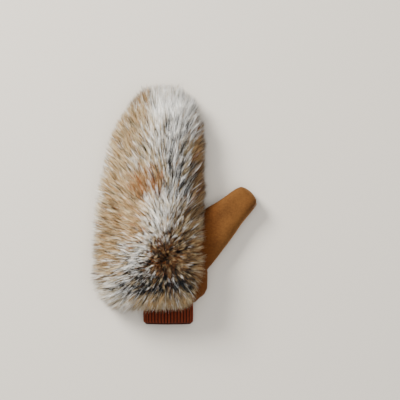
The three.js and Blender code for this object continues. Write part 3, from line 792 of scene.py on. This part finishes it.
# The animal's markings: the middle of each, its reach across and along the hand, and the hairs it adds
MARKINGS = (
    (0.031, 0.120, 0.022, 0.030, {"white": 8.0, "black_tip": 0.4}),
    (0.009, 0.122, 0.015, 0.022, {"white": 5.0, "cream": 0.6, "black_tip": 0.2}),
    (-0.018, 0.106, 0.009, 0.014, {"cream": 1.6, "tan": 2.4, "brown": 0.2, "black_tip": 0.2}),
    (-0.004, 0.088, 0.012, 0.026, {"white": 1.7, "cream": 0.5, "black_tip": 0.3}),
    (-0.048, 0.062, 0.020, 0.060, {"cream": 1.4, "tan": 1.7, "brown": 0.2, "black_tip": 0.5}),
    (-0.011, 0.022, 0.011, 0.012, {"cream": 0.6, "tan": 2.2, "rust": 5.2, "brown": 0.4}),
    (-0.026, 0.018, 0.010, 0.011, {"cream": 0.4, "tan": 2.6, "rust": 3.0, "brown": 0.3, "black_tip": 0.1}),
    (-0.022, 0.047, 0.011, 0.008, {"white": 0.8, "cream": 1.2}),
    (0.011, 0.001, 0.007, 0.011, {"white": 2.0, "cream": 0.4}),
    (0.014, 0.092, 0.009, 0.018, {"white": 1.2, "black_tip": 1.8, "slate": 1.0}),
    (0.034, 0.094, 0.009, 0.010, {"black_tip": 1.6, "slate": 1.0}),
    (0.020, 0.062, 0.010, 0.020, {"white": 2.6, "black_tip": 1.7, "slate": 0.6}),
    (0.027, 0.022, 0.011, 0.026, {"white": 2.3, "black_tip": 2.4, "slate": 1.5}),
    (-0.055, 0.000, 0.018, 0.032, {"cream": 0.6, "tan": 1.6, "brown": 0.2, "black_tip": 0.7}),
    (-0.031, -0.026, 0.015, 0.024, {"cream": 1.4, "tan": 5.5, "rust": 0.4, "black_tip": 0.3}),
    (-0.070, -0.062, 0.018, 0.032, {"cream": 0.8, "tan": 2.6, "brown": 0.2, "black_tip": 0.7}),
    (-0.002, -0.024, 0.015, 0.028, {"white": 3.6, "cream": 1.1, "black_tip": 1.0, "slate": 0.2}),
    (-0.030, -0.078, 0.018, 0.022, {"white": 3.0, "cream": 1.1, "black_tip": 2.2, "slate": 1.1}),
    (-0.020, -0.052, 0.009, 0.012, {"white": 3.4, "cream": 0.8}),
    (0.006, -0.075, 0.015, 0.018, {"tan": 2.6, "rust": 4.6, "brown": 7.0, "black_tip": 1.6, "slate": 1.9}),
    (0.009, -0.053, 0.015, 0.011, {"white": 0.2, "tan": 1.4, "brown": 2.0, "black_tip": 2.6, "slate": 1.6}),
    (-0.043, -0.115, 0.017, 0.0075, {"white": 1.5, "black_tip": 1.8, "slate": 4.6}),
    (0.019, -0.103, 0.018, 0.009, {"white": 0.5, "tan": 0.4, "black_tip": 1.4, "slate": 9.0}),
    (-0.010, -0.104, 0.018, 0.014, {"white": 0.6, "tan": 0.4, "brown": 0.8, "black_tip": 3.8,
                                    "slate": 5.0}),
    (0.006, -0.134, 0.045, 0.009, {"white": 0.8, "cream": 6.5, "tan": 7.5, "rust": 0.3, "brown": 1.0}),
    (-0.071, -0.130, 0.026, 0.020, {"white": 4.5, "cream": 3.4}),
    (-0.045, -0.135, 0.022, 0.010, {"white": 4.0, "cream": 5.0, "tan": 0.5}),
    (-0.089, -0.070, 0.008, 0.060, {"white": 3.0, "cream": 2.6, "black_tip": 0.3}),
    (-0.083, 0.010, 0.008, 0.045, {"white": 2.4, "cream": 2.2, "black_tip": 0.3}),
    (-0.069, 0.075, 0.008, 0.035, {"white": 1.8, "cream": 1.6, "black_tip": 0.2}),
    (0.053, -0.062, 0.009, 0.040, {"cream": 3.2, "tan": 5.0, "rust": 0.8, "brown": 1.4, "black_tip": 0.6,
                                   "slate": 0.3}),
    (0.055, 0.045, 0.008, 0.050, {"tan": 5.0, "rust": 1.4, "brown": 4.0, "black_tip": 0.8, "slate": 0.8}),
    (-0.024, 0.136, 0.010, 0.012, {"tan": 0.8, "rust": 0.2, "brown": 0.5, "slate": 0.4}),
    (0.034, -0.028, 0.015, 0.026, {"white": 0.5, "cream": 0.5, "tan": 1.0, "brown": 0.8, "black_tip": 1.8,
                                   "slate": 1.0}),
    (0.038, -0.072, 0.013, 0.026, {"cream": 0.2, "tan": 2.0, "rust": 0.4, "brown": 1.6, "black_tip": 0.9,
                                   "slate": 1.4}),
)
PELT_AREA = 0.0302
RIM_SHARE = 0.14
RIM_ALONG = 0.03
TIP_ALONG = 0.03
TIP_BRINK = 0.6
ROOT_ROWS = 260
ROOT_COLUMNS = 120
ROOTS_ALONG = (0.002, 0.998)
ROOTS_ACROSS = (0.006, 0.995)

pile_random = np.random.default_rng(PILE_SEED)


def roots_on_backing(count):
    """Evenly scattered points of the backing, with their outward normals and how near its rim they are."""
    along = mix(*ROOTS_ALONG, eased_rows(ROOT_ROWS))[:, None]
    turn_share = np.linspace(*ROOTS_ACROSS, ROOT_COLUMNS)[None, :]
    grid = shell_points(along, turn_share * seam_turn(along), 0) + backing_lift
    normals = surface_normals(grid)
    ahead, across = grid[1:, :-1] - grid[:-1, :-1], grid[:-1, 1:] - grid[:-1, :-1]
    area = np.linalg.norm(np.cross(ahead, across), axis=-1).ravel()
    steps = (np.arange(count) + pile_random.uniform(0, 1, count)) / count
    cells = np.searchsorted(np.cumsum(area) / area.sum(), steps)
    cells = np.minimum(cells, len(area) - 1)
    row, column = np.divmod(cells, ROOT_COLUMNS - 1)
    down, right = pile_random.uniform(0, 1, (2, count, 1))

    def between(values):
        near = mix(values[row, column], values[row, column + 1], right)
        far = mix(values[row + 1, column], values[row + 1, column + 1], right)
        return mix(near, far, down)

    brink = np.maximum(np.abs(turn_share * 2 - 1) - 1 + RIM_SHARE, 0) / RIM_SHARE
    brink = np.maximum(brink, np.clip(1 - along / RIM_ALONG, 0, 1) + 0 * brink)
    brink = np.maximum(brink, TIP_BRINK * np.clip(1 - (1 - along) / TIP_ALONG, 0, 1))
    return between(grid), unit(between(normals)), between(brink[..., None])[:, 0]


def spaced_roots(spacing):
    """Roots of locks or clumps, about one for each square of the spacing."""
    return roots_on_backing(int(PELT_AREA / spacing**2))


def nearest(points, centres):
    tree = KDTree(len(centres))
    for index, centre in enumerate(centres):
        tree.insert(centre, index)
    tree.balance()
    return np.array([tree.find(point)[1] for point in points])


def pile_lay(roots, normals, brink):
    """Which way the pile lies at each root, how far it leans from upright, and its length."""
    ahead = roots[:, 1] - WHORL[1]
    across = roots[:, 0] - WHORL[0]
    up = np.clip(ahead / PARTING_REACH, 0, 1)
    across_parting = across - PARTING_SHIFT * up
    spread = np.where(across_parting > 0, mix(*RIGHT_PARTING, up), LEFT_PARTING)
    spread = spread * (1 - TIP_CLOSING * np.clip(normals[:, 1], 0, 1) ** 2)
    side = 1 - np.clip(normals[:, 2], 0, 1)
    away = unit(np.stack([across_parting * spread, ahead, 0 * ahead], axis=1))
    away[:, 2] -= DROOP * side + RIM_DROOP * brink
    flow = unit(away - normals * np.sum(away * normals, axis=1, keepdims=True))
    settled = np.minimum(np.hypot(across, ahead) / LEAN_REACH, 1)
    lean = mix(LEAST_LEAN, mix(MOST_LEAN, EDGE_LEAN, side), settled)
    lean = mix(lean, RIM_LEAN, brink)
    corner = np.exp(-(np.sum(((roots[:, :2] - CORNER) / CORNER_SPREAD) ** 2, axis=1)))
    length = PILE_LENGTH * (1 - WHORL_SHORTENING * (1 - settled)) * (1 + CORNER_GAIN * corner)
    return flow, lean, length


def hair_path(roots, normals, flow, lean, length, sideways, levels, stray=0):
    """Points along each hair: it rises from the skin, bends over in the direction of the lay, and is
    shorter where it would hang past the pile's trimmed edges."""
    across = np.cross(normals, flow)
    point = roots.copy()
    points = [point]
    for near, far in zip(levels[:-1], levels[1:]):
        t = (near + far) / 2
        angle = (lean * (BEND_START + BEND_GAIN * t))[:, None]
        swirl = (sideways * t * SWIRL_GAIN)[:, None]
        heading = np.cos(angle) * normals + np.sin(angle) * flow + swirl * across
        point = point + unit(heading) * (length * (far - near))[:, None]
        points.append(point)
    path = np.stack(points, axis=1)
    return trimmed(path, roots, np.reshape(stray, (-1, 1)))


def trimmed(path, roots, stray):
    """Hairs drawn back to the pile's edges, apart from a wisp of each, and laid over floor and cuff."""
    reach = path[:, -1] - roots
    low = np.full((len(roots), 3), PILE_FLOOR)
    low[:, 0] = np.interp(path[:, -1, 1], LITTLE_ALONG, LITTLE_REACH)
    low[:, 1] = np.interp(path[:, -1, 0], HEM_ACROSS, HEM_REACH)
    low[:, 1] += pile_random.normal(0, HEM_SCATTER, len(roots))
    high = np.tile(PILE_HIGH, (len(roots), 1))
    high[:, 0] = np.interp(path[:, -1, 1], THUMB_ALONG, THUMB_REACH)
    ragged = RAGGED_REACH * soft_waves(roots, RAGGED_SPACING, RAGGED_SEED)
    low[:, 0] -= ragged
    high[:, :2] += ragged[:, None]
    room = np.maximum(np.where(reach > 0, high - roots, roots - low), LEAST_ROOM)
    wisp = WISP_REACH * (WISP_LEAST + WISP_TAIL * pile_random.exponential(1, (len(roots), 1)) ** 2)
    wisp = np.minimum(wisp * (1 + STRAY_REACH * stray), WISP_MOST) * WISP_SHAPE
    over = np.maximum(np.abs(reach) - room, 0)
    kept = np.minimum(np.abs(reach), room) + wisp * (1 - np.exp(-over / wisp))
    trim = np.clip(kept / np.maximum(np.abs(reach), 1e-6), LEAST_TRIM, 1).min(axis=1)
    path = roots[:, None] + (path - roots[:, None]) * trim[:, None, None]
    beside_cuff = np.abs(path[..., 0] - CUFF_OFFSET) >= CUFF_WIDTH / 2
    over_hand = path[..., 1] >= -WRIST_REACH + PELT_WALL
    on_cuff = CUFF_LIFT + CUFF_HEIGHT + SEAM_GAP
    path[..., 2] = np.maximum(path[..., 2], np.where(beside_cuff | over_hand, PILE_FLOOR, on_cuff))
    return path


# Neighbours across the hand draw their kinds a golden-ratio step apart, so no kind bunches up by chance.
EVEN_STEP = (math.sqrt(5) - 1) / 2
EVEN_SCATTER = 0.05
DRAW_BAND = 0.006


def hair_kinds(places, base):
    """Which kind of hair grows at each place: the base mix of kinds and the animal's markings."""
    shares = np.tile([base.get(kind, 0) for kind in KINDS], (len(places), 1))
    for x, y, reach_x, reach_y, hairs in MARKINGS:
        distance = ((places[:, 0] - x) / reach_x) ** 2 + ((places[:, 1] - y) / reach_y) ** 2
        added = np.array([hairs.get(kind, 0) for kind in KINDS])
        shares = shares + np.exp(-distance)[:, None] * added
    heights = np.cumsum(shares, axis=1) / shares.sum(axis=1, keepdims=True)
    order = np.lexsort((places[:, 0], np.floor(places[:, 1] / DRAW_BAND)))
    even = np.arange(len(places)) * EVEN_STEP + pile_random.normal(0, EVEN_SCATTER, len(places))
    draw = np.empty(len(places))
    draw[order] = even % 1
    return np.minimum((draw[:, None] > heights).sum(axis=1), len(KINDS) - 1)


def scattered(spreads, count):
    """Random changes of lean, length and sideways swirl."""
    return [pile_random.normal(0, spread, count) for spread in spreads]


lock_roots = spaced_roots(LOCK_SPACING)[0]
lock_swirl, lock_lift = scattered((LOCK_SWIRL, LOCK_LIFT), len(lock_roots))


def gather(spacing, base, streak_spacing):
    """Clumps that a coat's hairs are drawn into. Clumps of one streak share its colour and its lie."""
    roots, normals, brink = spaced_roots(spacing)
    streak_roots, streak_normals, streak_brink = spaced_roots(streak_spacing)
    streaks = len(streak_roots)
    streak = nearest(roots, streak_roots)
    lock = nearest(streak_roots, lock_roots)
    lean_change, length_change, swirl_change = scattered(STREAK_SCATTER, streaks)
    streak_lean = 1 + lock_lift[lock] + lean_change
    streak_length = 1 + length_change
    streak_swirl = lock_swirl[lock] + swirl_change
    flow, lean, length = pile_lay(streak_roots, streak_normals, streak_brink)
    streak_lay = (flow, lean * streak_lean, length * streak_length, streak_swirl)
    middle = hair_path(streak_roots, streak_normals, *streak_lay, STREAK_LEVELS)[:, -1]
    kind = hair_kinds(middle, base)
    shade = pile_random.normal(*STREAK_SHADE, streaks)
    flow, lean, length = pile_lay(roots, normals, brink)
    lean_change, length_change, swirl_change = scattered(CLUMP_SCATTER, len(roots))
    lean = lean * (streak_lean[streak] + lean_change)
    length = length * (streak_length[streak] + length_change)
    return {
        "lift": streak_lean[streak],
        "swirl": streak_swirl[streak],
        "lay": (roots, normals, flow, lean, length, streak_swirl[streak] + swirl_change),
        "kind": kind[streak],
        "shade": shade[streak],
    }


def grow_hairs(name, coat, within=None):
    """A piece of closed, tapered hairs of one coat: its levels and widths are the rings from root to tip,
    reach scales the length, pull draws a hair's tip into its clump, and stray is the share of hairs that
    keep their own colour and stand out."""
    roots, normals, brink = roots_on_backing(coat["count"])
    if within is not None:
        keep = within(roots)
        roots, normals, brink = roots[keep], normals[keep], brink[keep]
    total = len(roots)
    clumps, levels = coat["clumps"], coat["levels"]
    clump = nearest(roots, clumps["lay"][0])
    flow, lean, length = pile_lay(roots, normals, brink)
    lean_change, length_change, swirl_change = scattered(HAIR_SCATTER, total)
    lean = lean * (clumps["lift"][clump] + lean_change)
    length = length * coat["reach"] * (1 + length_change)
    sideways = clumps["swirl"][clump] + swirl_change
    strays = pile_random.uniform(0, 1, total) < coat["stray"]
    own = hair_path(roots, normals, flow, lean, length, sideways, levels, strays)
    leader = [part[clump] for part in clumps["lay"]]
    leader[4] = leader[4] * coat["reach"]
    led = hair_path(*leader, levels)
    settled = np.hypot(roots[:, 0] - WHORL[0], roots[:, 1] - WHORL[1]) / LEAN_REACH
    drawn = coat["pull"] * mix(WHORL_PULL, 1, np.minimum(settled * PULL_EASE, 1))
    drawn = drawn * mix(1, STRAY_PULL, strays)
    path = mix(own, led, drawn[:, None, None] * np.array(levels)[None, :, None] ** PULL_BEND)
    kind = np.where(strays, hair_kinds(own[:, -2], coat["mix"]), clumps["kind"][clump])
    shade = np.clip(clumps["shade"][clump] + pile_random.normal(0, HAIR_SHADE, total), 0, LAST_SHADE)
    piece = new_piece(name, *hair_mesh(path, coat["widths"]), coat["material"])
    paint_hairs(piece.data, total, len(levels) - 1, kind, shade)
    return piece


def hair_mesh(path, widths):
    """Points and faces of closed hairs with three sides along their paths."""
    total, rings = path.shape[0], path.shape[1] - 1
    along = unit(np.gradient(path, axis=1))
    spare = np.where(np.abs(along[..., 2:]) < STEEP, [[[0.0, 0.0, 1.0]]], [[[1.0, 0.0, 0.0]]])
    across = unit(np.cross(along, spare))
    other = np.cross(along, across)
    thick = pile_random.uniform(*THICKNESS, total)[:, None, None]
    half = (np.array(widths)[None, :, None] / 2 * thick)[..., None]
    ring = path[:, :-1, None, :] + ring_round(across[:, :-1], other[:, :-1], HAIR_SIDES) * half
    points = np.concatenate([ring.reshape(total, -1, 3), path[:, -1:, :]], axis=1).reshape(-1, 3)
    start = (np.arange(total) * (rings * HAIR_SIDES + 1))[:, None, None]
    foot = np.arange(HAIR_SIDES)
    top = (rings - 1) * HAIR_SIDES + foot
    tips = np.stack([top, np.roll(top, -1), np.full(HAIR_SIDES, rings * HAIR_SIDES)], axis=-1)
    quads = (start + ring_quads(rings, HAIR_SIDES)[None]).reshape(-1, 4)
    tris = (start + np.concatenate([tips, foot[None, ::-1]])[None]).reshape(-1, 3)
    return points, [quads, tris]


# Where the rings of a hair lie on the colour chart, from root to tip, and how much of its row a hair fills
HAIR_STOPS = {2: (0.01, 0.55, 0.99), 3: (0.01, 0.4, 0.75, 0.99)}
FOOT_STOPS = (0.004, 0.012)
ROW_FILL = 0.7


def paint_hairs(mesh, total, rings, kind, shade):
    """Lays each hair on its row of the colour chart, by kind and shade: across the chart is root to tip."""
    row = (kind + (np.floor(shade * SHADES) + 0.5) / SHADES) / len(KINDS)
    band = ROW_FILL / (len(KINDS) * SHADES)
    stops = HAIR_STOPS[rings]
    edges = [(side / HAIR_SIDES - 0.5) * band for side in range(HAIR_SIDES + 1)]
    sides = list(zip(edges[:-1], edges[1:]))
    quad_uv = [
        [(near, low), (near, high), (far, high), (far, low)]
        for near, far in zip(stops[:-2], stops[1:-1])
        for low, high in sides
    ]
    tip_uv = [[(stops[-2], low), (stops[-2], high), (stops[-1], (low + high) / 2)] for low, high in sides]
    tip_uv.append([(FOOT_STOPS[0], -band / 2), (FOOT_STOPS[1], 0), (FOOT_STOPS[0], band / 2)])
    charts = []
    for corners in (quad_uv, tip_uv):
        uv = np.tile(np.array(corners).reshape(1, -1, 2), (total, 1, 1))
        uv[..., 1] += row[:, None]
        charts.append(uv.reshape(-1, 2))
    layer = mesh.uv_layers.new(name="OFBake")
    layer.uv.foreach_set("vector", np.concatenate(charts).astype(np.float32).ravel())


bands, bands_in, bands_out = new_effect(
    "banded hair",
    {"Along": (FLOAT, 0.5), "Row": (FLOAT, 0.5), "Darkest": (FLOAT, 0.7), "Lightest": (FLOAT, 1.2)},
    {"Color": COLOUR},
)
bands_kind = maths_node(bands.nodes, "MULTIPLY", 0, len(KINDS))
bands_shade = maths_node(bands.nodes, "FRACT")
bands_gain = bands.nodes.new("ShaderNodeMapRange")
bands_lit = bands.nodes.new("ShaderNodeVectorMath")
bands_lit.operation = "SCALE"
bands_last = None
for index, name in enumerate(KINDS):
    ramp = bands.nodes.new("ShaderNodeValToRGB")
    wire(bands.links, (bands_in, "Along", ramp, "Fac"))
    elements = ramp.color_ramp.elements
    while len(elements) < len(HAIR_BANDS[name]):
        elements.new(0.5)
    for element, (share, colour) in zip(elements, HAIR_BANDS[name]):
        element.position = share
        element.color = srgb(*colour)
    if bands_last is None:
        bands_last = (ramp, "Color")
        continue
    above = maths_node(bands.nodes, "GREATER_THAN", 0, index)
    chosen = blend_node(bands.nodes)
    wire(
        bands.links,
        (bands_kind, "Value", above, 0),
        (above, "Value", chosen, "Factor"),
        (*bands_last, chosen, "A"),
        (ramp, "Color", chosen, "B"),
    )
    bands_last = (chosen, "Result")
wire(
    bands.links,
    (bands_in, "Row", bands_kind, 0),
    (bands_kind, "Value", bands_shade, 0),
    (bands_shade, "Value", bands_gain, "Value"),
    (bands_in, "Darkest", bands_gain, "To Min"),
    (bands_in, "Lightest", bands_gain, "To Max"),
    (*bands_last, bands_lit, 0),
    (bands_gain, "Result", bands_lit, "Scale"),
    (bands_lit, "Vector", bands_out, "Color"),
)


def hair(name, darkest, lightest):
    """Banded animal hair, coloured by its row of the chart."""
    material, nodes, links, shader = new_material(name)
    chart = nodes.new("ShaderNodeUVMap")
    chart.uv_map = "OFBake"
    split = nodes.new("ShaderNodeSeparateXYZ")
    banded = placed_effect(nodes, bands, {"Darkest": darkest, "Lightest": lightest})
    wire(
        links,
        (chart, "UV", split, "Vector"),
        (split, "X", banded, "Along"),
        (split, "Y", banded, "Row"),
        (banded, "Color", shader, "Base Color"),
    )
    set_inputs(shader, {"Roughness": 0.55, "Specular IOR Level": 0.25})
    return material


# The long pile is grown in three pieces, between the fingertips and the hem.
KNUCKLES_FROM = -0.055
FINGERS_FROM = 0.022
REGIONS = {
    "fingers": lambda roots: roots[:, 1] > FINGERS_FROM,
    "knuckles": lambda roots: (roots[:, 1] <= FINGERS_FROM) & (roots[:, 1] > KNUCKLES_FROM),
    "wrist": lambda roots: roots[:, 1] <= KNUCKLES_FROM,
}
pile_clumps = gather(CLUMP_SPACING, BASE_MIX, STREAK_SPACING)
guard_clumps = gather(GUARD_SPACING, GUARD_MIX, GUARD_SPACING)
# The underfur's colours are scaled down (a gain of 0.6 to 1.0), as painted shade for the gaps deep in the
# pile.
UNDERFUR = {
    "clumps": pile_clumps, "mix": BASE_MIX, "count": 8000, "levels": (0, 0.5, 1),
    "widths": (0.0009, 0.0008), "reach": 0.6, "pull": 0.3, "stray": 0.5,
    "material": hair("under hair", 0.6, 1.0),
}
PILE = {
    "clumps": pile_clumps, "mix": BASE_MIX, "count": 54000, "levels": (0, 0.52, 1),
    "widths": (0.00034, 0.00038), "reach": 1.0, "pull": 0.78, "stray": 0.06,
    "material": hair("pile hair", 0.76, 1.16),
}
GUARD = {
    "clumps": guard_clumps, "mix": GUARD_MIX, "count": 12000, "levels": (0, 0.4, 0.75, 1),
    "widths": (0.0003, 0.00036, 0.0003), "reach": 1.08, "pull": 0.85, "stray": 0.1,
    "material": hair("guard hair", 0.75, 1.15),
}
grown = [grow_hairs("underfur", UNDERFUR), grow_hairs("guard_hairs", GUARD)]
for region, within in REGIONS.items():
    grown.append(grow_hairs("pile_" + region, PILE, within))
for piece in grown:
    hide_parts("fur_back")
    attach(piece, "root")

# Knit cuff
# The cuff is a tube of rust-brown wool in one-and-one rib. Each rib is a column of plain stitches, two
# slanting legs of yarn for each row, and the furrows between are the backs of purl stitches.
CUFF_LENGTH = 0.040
CUFF_SEAT = 0.012
CUFF_WALL = 0.0032
CUFF_SAG = 0.002
HEM_ROUND = 0.005
HEM_TUCK = 0.0022
HEM_MARGIN = 0.001
TUBE_ROWS = 12
HEM_ROWS = 7
TUBE_STEPS = 4
FURROW_DEPTH = 0.00144
CREST_DEPTH = 0.0007
RIB_PITCH = 0.0043
ROW_PITCH = 0.0028
YARN_WIDTH = 0.0014
LEG_START = 0.0012
LEG_INNER = 0.08
LEG_OUTER = 0.2
LEG_OVERLAP = 1.35
LEG_DEPTH = 0.0004
LEG_SINK = 0.0002
LEG_BULGE = 0.0003
LEG_WAIST = 0.55
LEG_TAPER = 0.85
LEG_RINGS = 5
LEG_SIDES = 5
CREST_STEPS = 16
FINE_STEPS = 40
LEAST_YARN_HEIGHT = 0.0001

cuff_girth = 2 * (CUFF_WIDTH - CUFF_HEIGHT) + math.pi * CUFF_HEIGHT
RIBS = round(cuff_girth / RIB_PITCH)


def even_outline(inset, count):
    """Points at even steps round the cuff's oval, with the first at its left seam."""
    fine = np.linspace(0, 2, FINE_STEPS * count + 1)
    x, z = pocket_outline(cuff_section(inset), fine)
    run = np.concatenate([[0], np.cumsum(np.hypot(np.diff(x), np.diff(z)))])
    at = np.arange(count) / count * run[-1]
    return np.stack([np.interp(at, run, x), np.interp(at, run, z)], axis=-1)


def place_on_cuff(flat, reach, tuck):
    """Moves points of the oval to their reach from the cuff's hidden edge, drawn in at its hem."""
    free = np.maximum(0, reach - CUFF_SEAT) / (CUFF_LENGTH - CUFF_SEAT)
    drawn = tuck * np.maximum(0, 1 - (CUFF_LENGTH - reach) / HEM_ROUND) ** 2
    wide = 1 - drawn / (CUFF_WIDTH / 2)
    high = 1 - drawn / (CUFF_HEIGHT / 2)
    x = CUFF_OFFSET + (flat[..., 0] - CUFF_OFFSET) * wide
    z = SEAM_HEIGHT + (flat[..., 1] - SEAM_HEIGHT) * high - CUFF_SAG * free
    y = -WRIST_REACH + CUFF_SEAT - reach + 0 * x
    return np.stack([x, y, z], axis=-1)


wool, wool_in, wool_out = new_effect(
    "heathered wool",
    {"Light": (COLOUR, (0.3, 0.05, 0.02, 1)), "Dark": (COLOUR, (0.1, 0.01, 0.005, 1))},
    {"Color": COLOUR, "Height": FLOAT},
)
wool_place = wool.nodes.new("ShaderNodeTexCoord")
wool_heather = noise_node(wool.nodes, 420, 4, 0.6)
wool_fibre = noise_node(wool.nodes, 3200, 2, 0.6)
wool_colour = blend_node(wool.nodes)
wire(
    wool.links,
    (wool_place, "Object", wool_heather, "Vector"),
    (wool_place, "Object", wool_fibre, "Vector"),
    (wool_heather, "Fac", wool_colour, "Factor"),
    (wool_in, "Dark", wool_colour, "A"),
    (wool_in, "Light", wool_colour, "B"),
    (wool_colour, "Result", wool_out, "Color"),
    (wool_fibre, "Fac", wool_out, "Height"),
)


def yarn(name, light, dark):
    """Matt wool yarn with a little fuzz."""
    material, nodes, links, shader = new_material(name)
    heathered = placed_effect(nodes, wool, {"Light": light, "Dark": dark})
    wire(links, (heathered, "Color", shader, "Base Color"))
    raise_surface(nodes, links, heathered.outputs["Height"], shader, 0.5, 0.0003)
    set_inputs(shader, {"Roughness": 0.9, "Specular IOR Level": 0.15})
    set_inputs(shader, {"Sheen Weight": 0.15, "Sheen Tint": srgb(220, 140, 100)})
    return material


rib_yarn = yarn("rust wool", srgb(120, 50, 25), srgb(70, 21, 9))
# The furrows' yarn is the same rust wool painted darker, as painted shade in the furrows between the ribs.
furrow_yarn = yarn("shaded rust wool", srgb(50, 13, 6), srgb(26, 6, 3))

tube_columns = RIBS * TUBE_STEPS
hem_reach = CUFF_LENGTH - HEM_ROUND
tube_reach = np.concatenate(
    [np.linspace(0, hem_reach, TUBE_ROWS, endpoint=False), np.linspace(hem_reach, CUFF_LENGTH, HEM_ROWS)]
)
rib_rise = (1 - np.cos(np.arange(tube_columns) * 2 * np.pi / TUBE_STEPS)) / 2
furrows, crests = even_outline(FURROW_DEPTH, tube_columns), even_outline(CREST_DEPTH, tube_columns)
tube_flat = mix(furrows, crests, rib_rise[:, None])
tube_inside = even_outline(CUFF_WALL, tube_columns)
tube_grid = np.stack(
    [place_on_cuff(tube_flat, reach, HEM_TUCK) for reach in tube_reach]
    + [place_on_cuff(tube_inside, reach, 0) for reach in tube_reach[::-1]]
)
tube_at = np.arange(len(tube_grid) * tube_columns).reshape(len(tube_grid), tube_columns)
tube_faces = grid_quads(np.pad(tube_at, ((0, 1), (0, 1)), mode="wrap").T)
cuff_tube = new_piece("cuff_tube", tube_grid.reshape(-1, 3), [tube_faces], furrow_yarn)

crest_outline = even_outline(LEG_DEPTH, RIBS * CREST_STEPS)
outline_run = unit(np.roll(crest_outline, -1, axis=0) - np.roll(crest_outline, 1, axis=0))
crest_at = np.arange(RIBS) * CREST_STEPS + CREST_STEPS // 2
crest_point, crest_run = crest_outline[crest_at], outline_run[crest_at]
crest_out = np.stack([-crest_run[:, 1], crest_run[:, 0]], axis=-1)


def upright(flat):
    """Directions of the cuff's oval as directions in space."""
    return np.stack([flat[:, 0], 0 * flat[:, 0], flat[:, 1]], axis=-1)


def stitch_legs(course, lean_side):
    """One slanting leg of the plain stitches in a row, on every rib: rings of yarn from its foot up."""
    rings = []
    for t in np.linspace(-0.5, 0.5, LEG_RINGS):
        shift = lean_side * mix(LEG_INNER, LEG_OUTER, t + 0.5) * RIB_PITCH
        proud = LEG_BULGE * math.cos(t * math.pi) - LEG_SINK
        half = YARN_WIDTH / 2 * mix(math.cos(t * math.pi * LEG_TAPER), 1, LEG_WAIST)
        flat = crest_point + crest_run * shift + crest_out * proud
        reach = LEG_START + (course + 0.5 + t * LEG_OVERLAP) * ROW_PITCH
        centre = place_on_cuff(flat, reach, HEM_TUCK)
        rings.append(centre[:, None] + half * ring_round(upright(crest_run), upright(crest_out), LEG_SIDES))
    return np.stack(rings, axis=1)


course_count = int((CUFF_LENGTH - HEM_MARGIN) / ROW_PITCH)
leg_points = np.concatenate(
    [stitch_legs(course, lean_side) for course in range(course_count) for lean_side in (-1, 1)]
)
leg_points[..., 2] = np.maximum(leg_points[..., 2], LEAST_YARN_HEIGHT)
leg_size = LEG_RINGS * LEG_SIDES
leg_start = (np.arange(len(leg_points)) * leg_size)[:, None, None]
leg_faces = (leg_start + ring_quads(LEG_RINGS, LEG_SIDES)[None]).reshape(-1, 4)
leg_ends = np.stack([np.arange(LEG_SIDES)[::-1], leg_size - LEG_SIDES + np.arange(LEG_SIDES)])
leg_caps = (leg_start + leg_ends[None]).reshape(-1, LEG_SIDES)
cuff_ribs = new_piece("cuff_ribs", leg_points.reshape(-1, 3), [leg_faces, leg_caps], rib_yarn)
for piece in (cuff_tube, cuff_ribs):
    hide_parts("knit_cuff")
    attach(piece, "root")

# Table, light and camera
# A plain pale table stands in for whatever the mitten lies on. Daylight falls softly from above and beyond
# the fingertips, and the camera looks straight down.
PHOTO_WIDTH = 400
PIXEL = 0.0013
FRAME_CENTRE = (0.052, 0.0)
CAMERA_HEIGHT = 1.6
SENSOR = 0.036
TABLE_HALF = 6.0
TABLE_DROP = 0.0002

table_material, *_, table_shader = new_material("pale table")
set_inputs(table_shader, {"Base Color": srgb(205, 198, 187), "Roughness": 0.9})
table_square = np.array([[-1, -1, 0], [1, -1, 0], [1, 1, 0], [-1, 1, 0]])
table_corners = table_square * TABLE_HALF - [0, 0, TABLE_DROP]
pale_table = new_piece("pale_table", table_corners, [np.array([[0, 1, 2, 3]])], table_material)


def soft_light(name, place, target, size, watts, colour):
    """A square panel of diffuse light that faces its target."""
    light = bpy.data.lights.new(name, "AREA")
    light.shape = "SQUARE"
    light.size = size
    light.energy = watts
    light.color = colour
    lamp = bpy.data.objects.new(name, light)
    lamp.location = place
    lamp.rotation_euler = (Vector(target) - Vector(place)).to_track_quat("-Z", "Y").to_euler()
    bpy.context.scene.collection.objects.link(lamp)


soft_light("window", (-1.2, 1.2, 1.3), (0, 0, 0), 0.8, 106, (1.0, 0.98, 0.93))
soft_light("ceiling", (0.2, 0.0, 2.2), (0, 0, 0), 2.2, 41, (1.0, 0.99, 0.97))
world = bpy.data.worlds.new("room")
bpy.context.scene.world = world
world.use_nodes = True
set_inputs(world.node_tree.nodes["Background"], {"Color": (0.97, 0.98, 1.0, 1), "Strength": 0.56})

camera_data = bpy.data.cameras.new("camera")
camera_data.sensor_width = SENSOR * 1000
camera_data.lens = SENSOR * 1000 * CAMERA_HEIGHT / (PHOTO_WIDTH * PIXEL)
camera = bpy.data.objects.new("camera", camera_data)
camera.location = (*FRAME_CENTRE, CAMERA_HEIGHT)
bpy.context.scene.collection.objects.link(camera)
bpy.context.scene.camera = camera
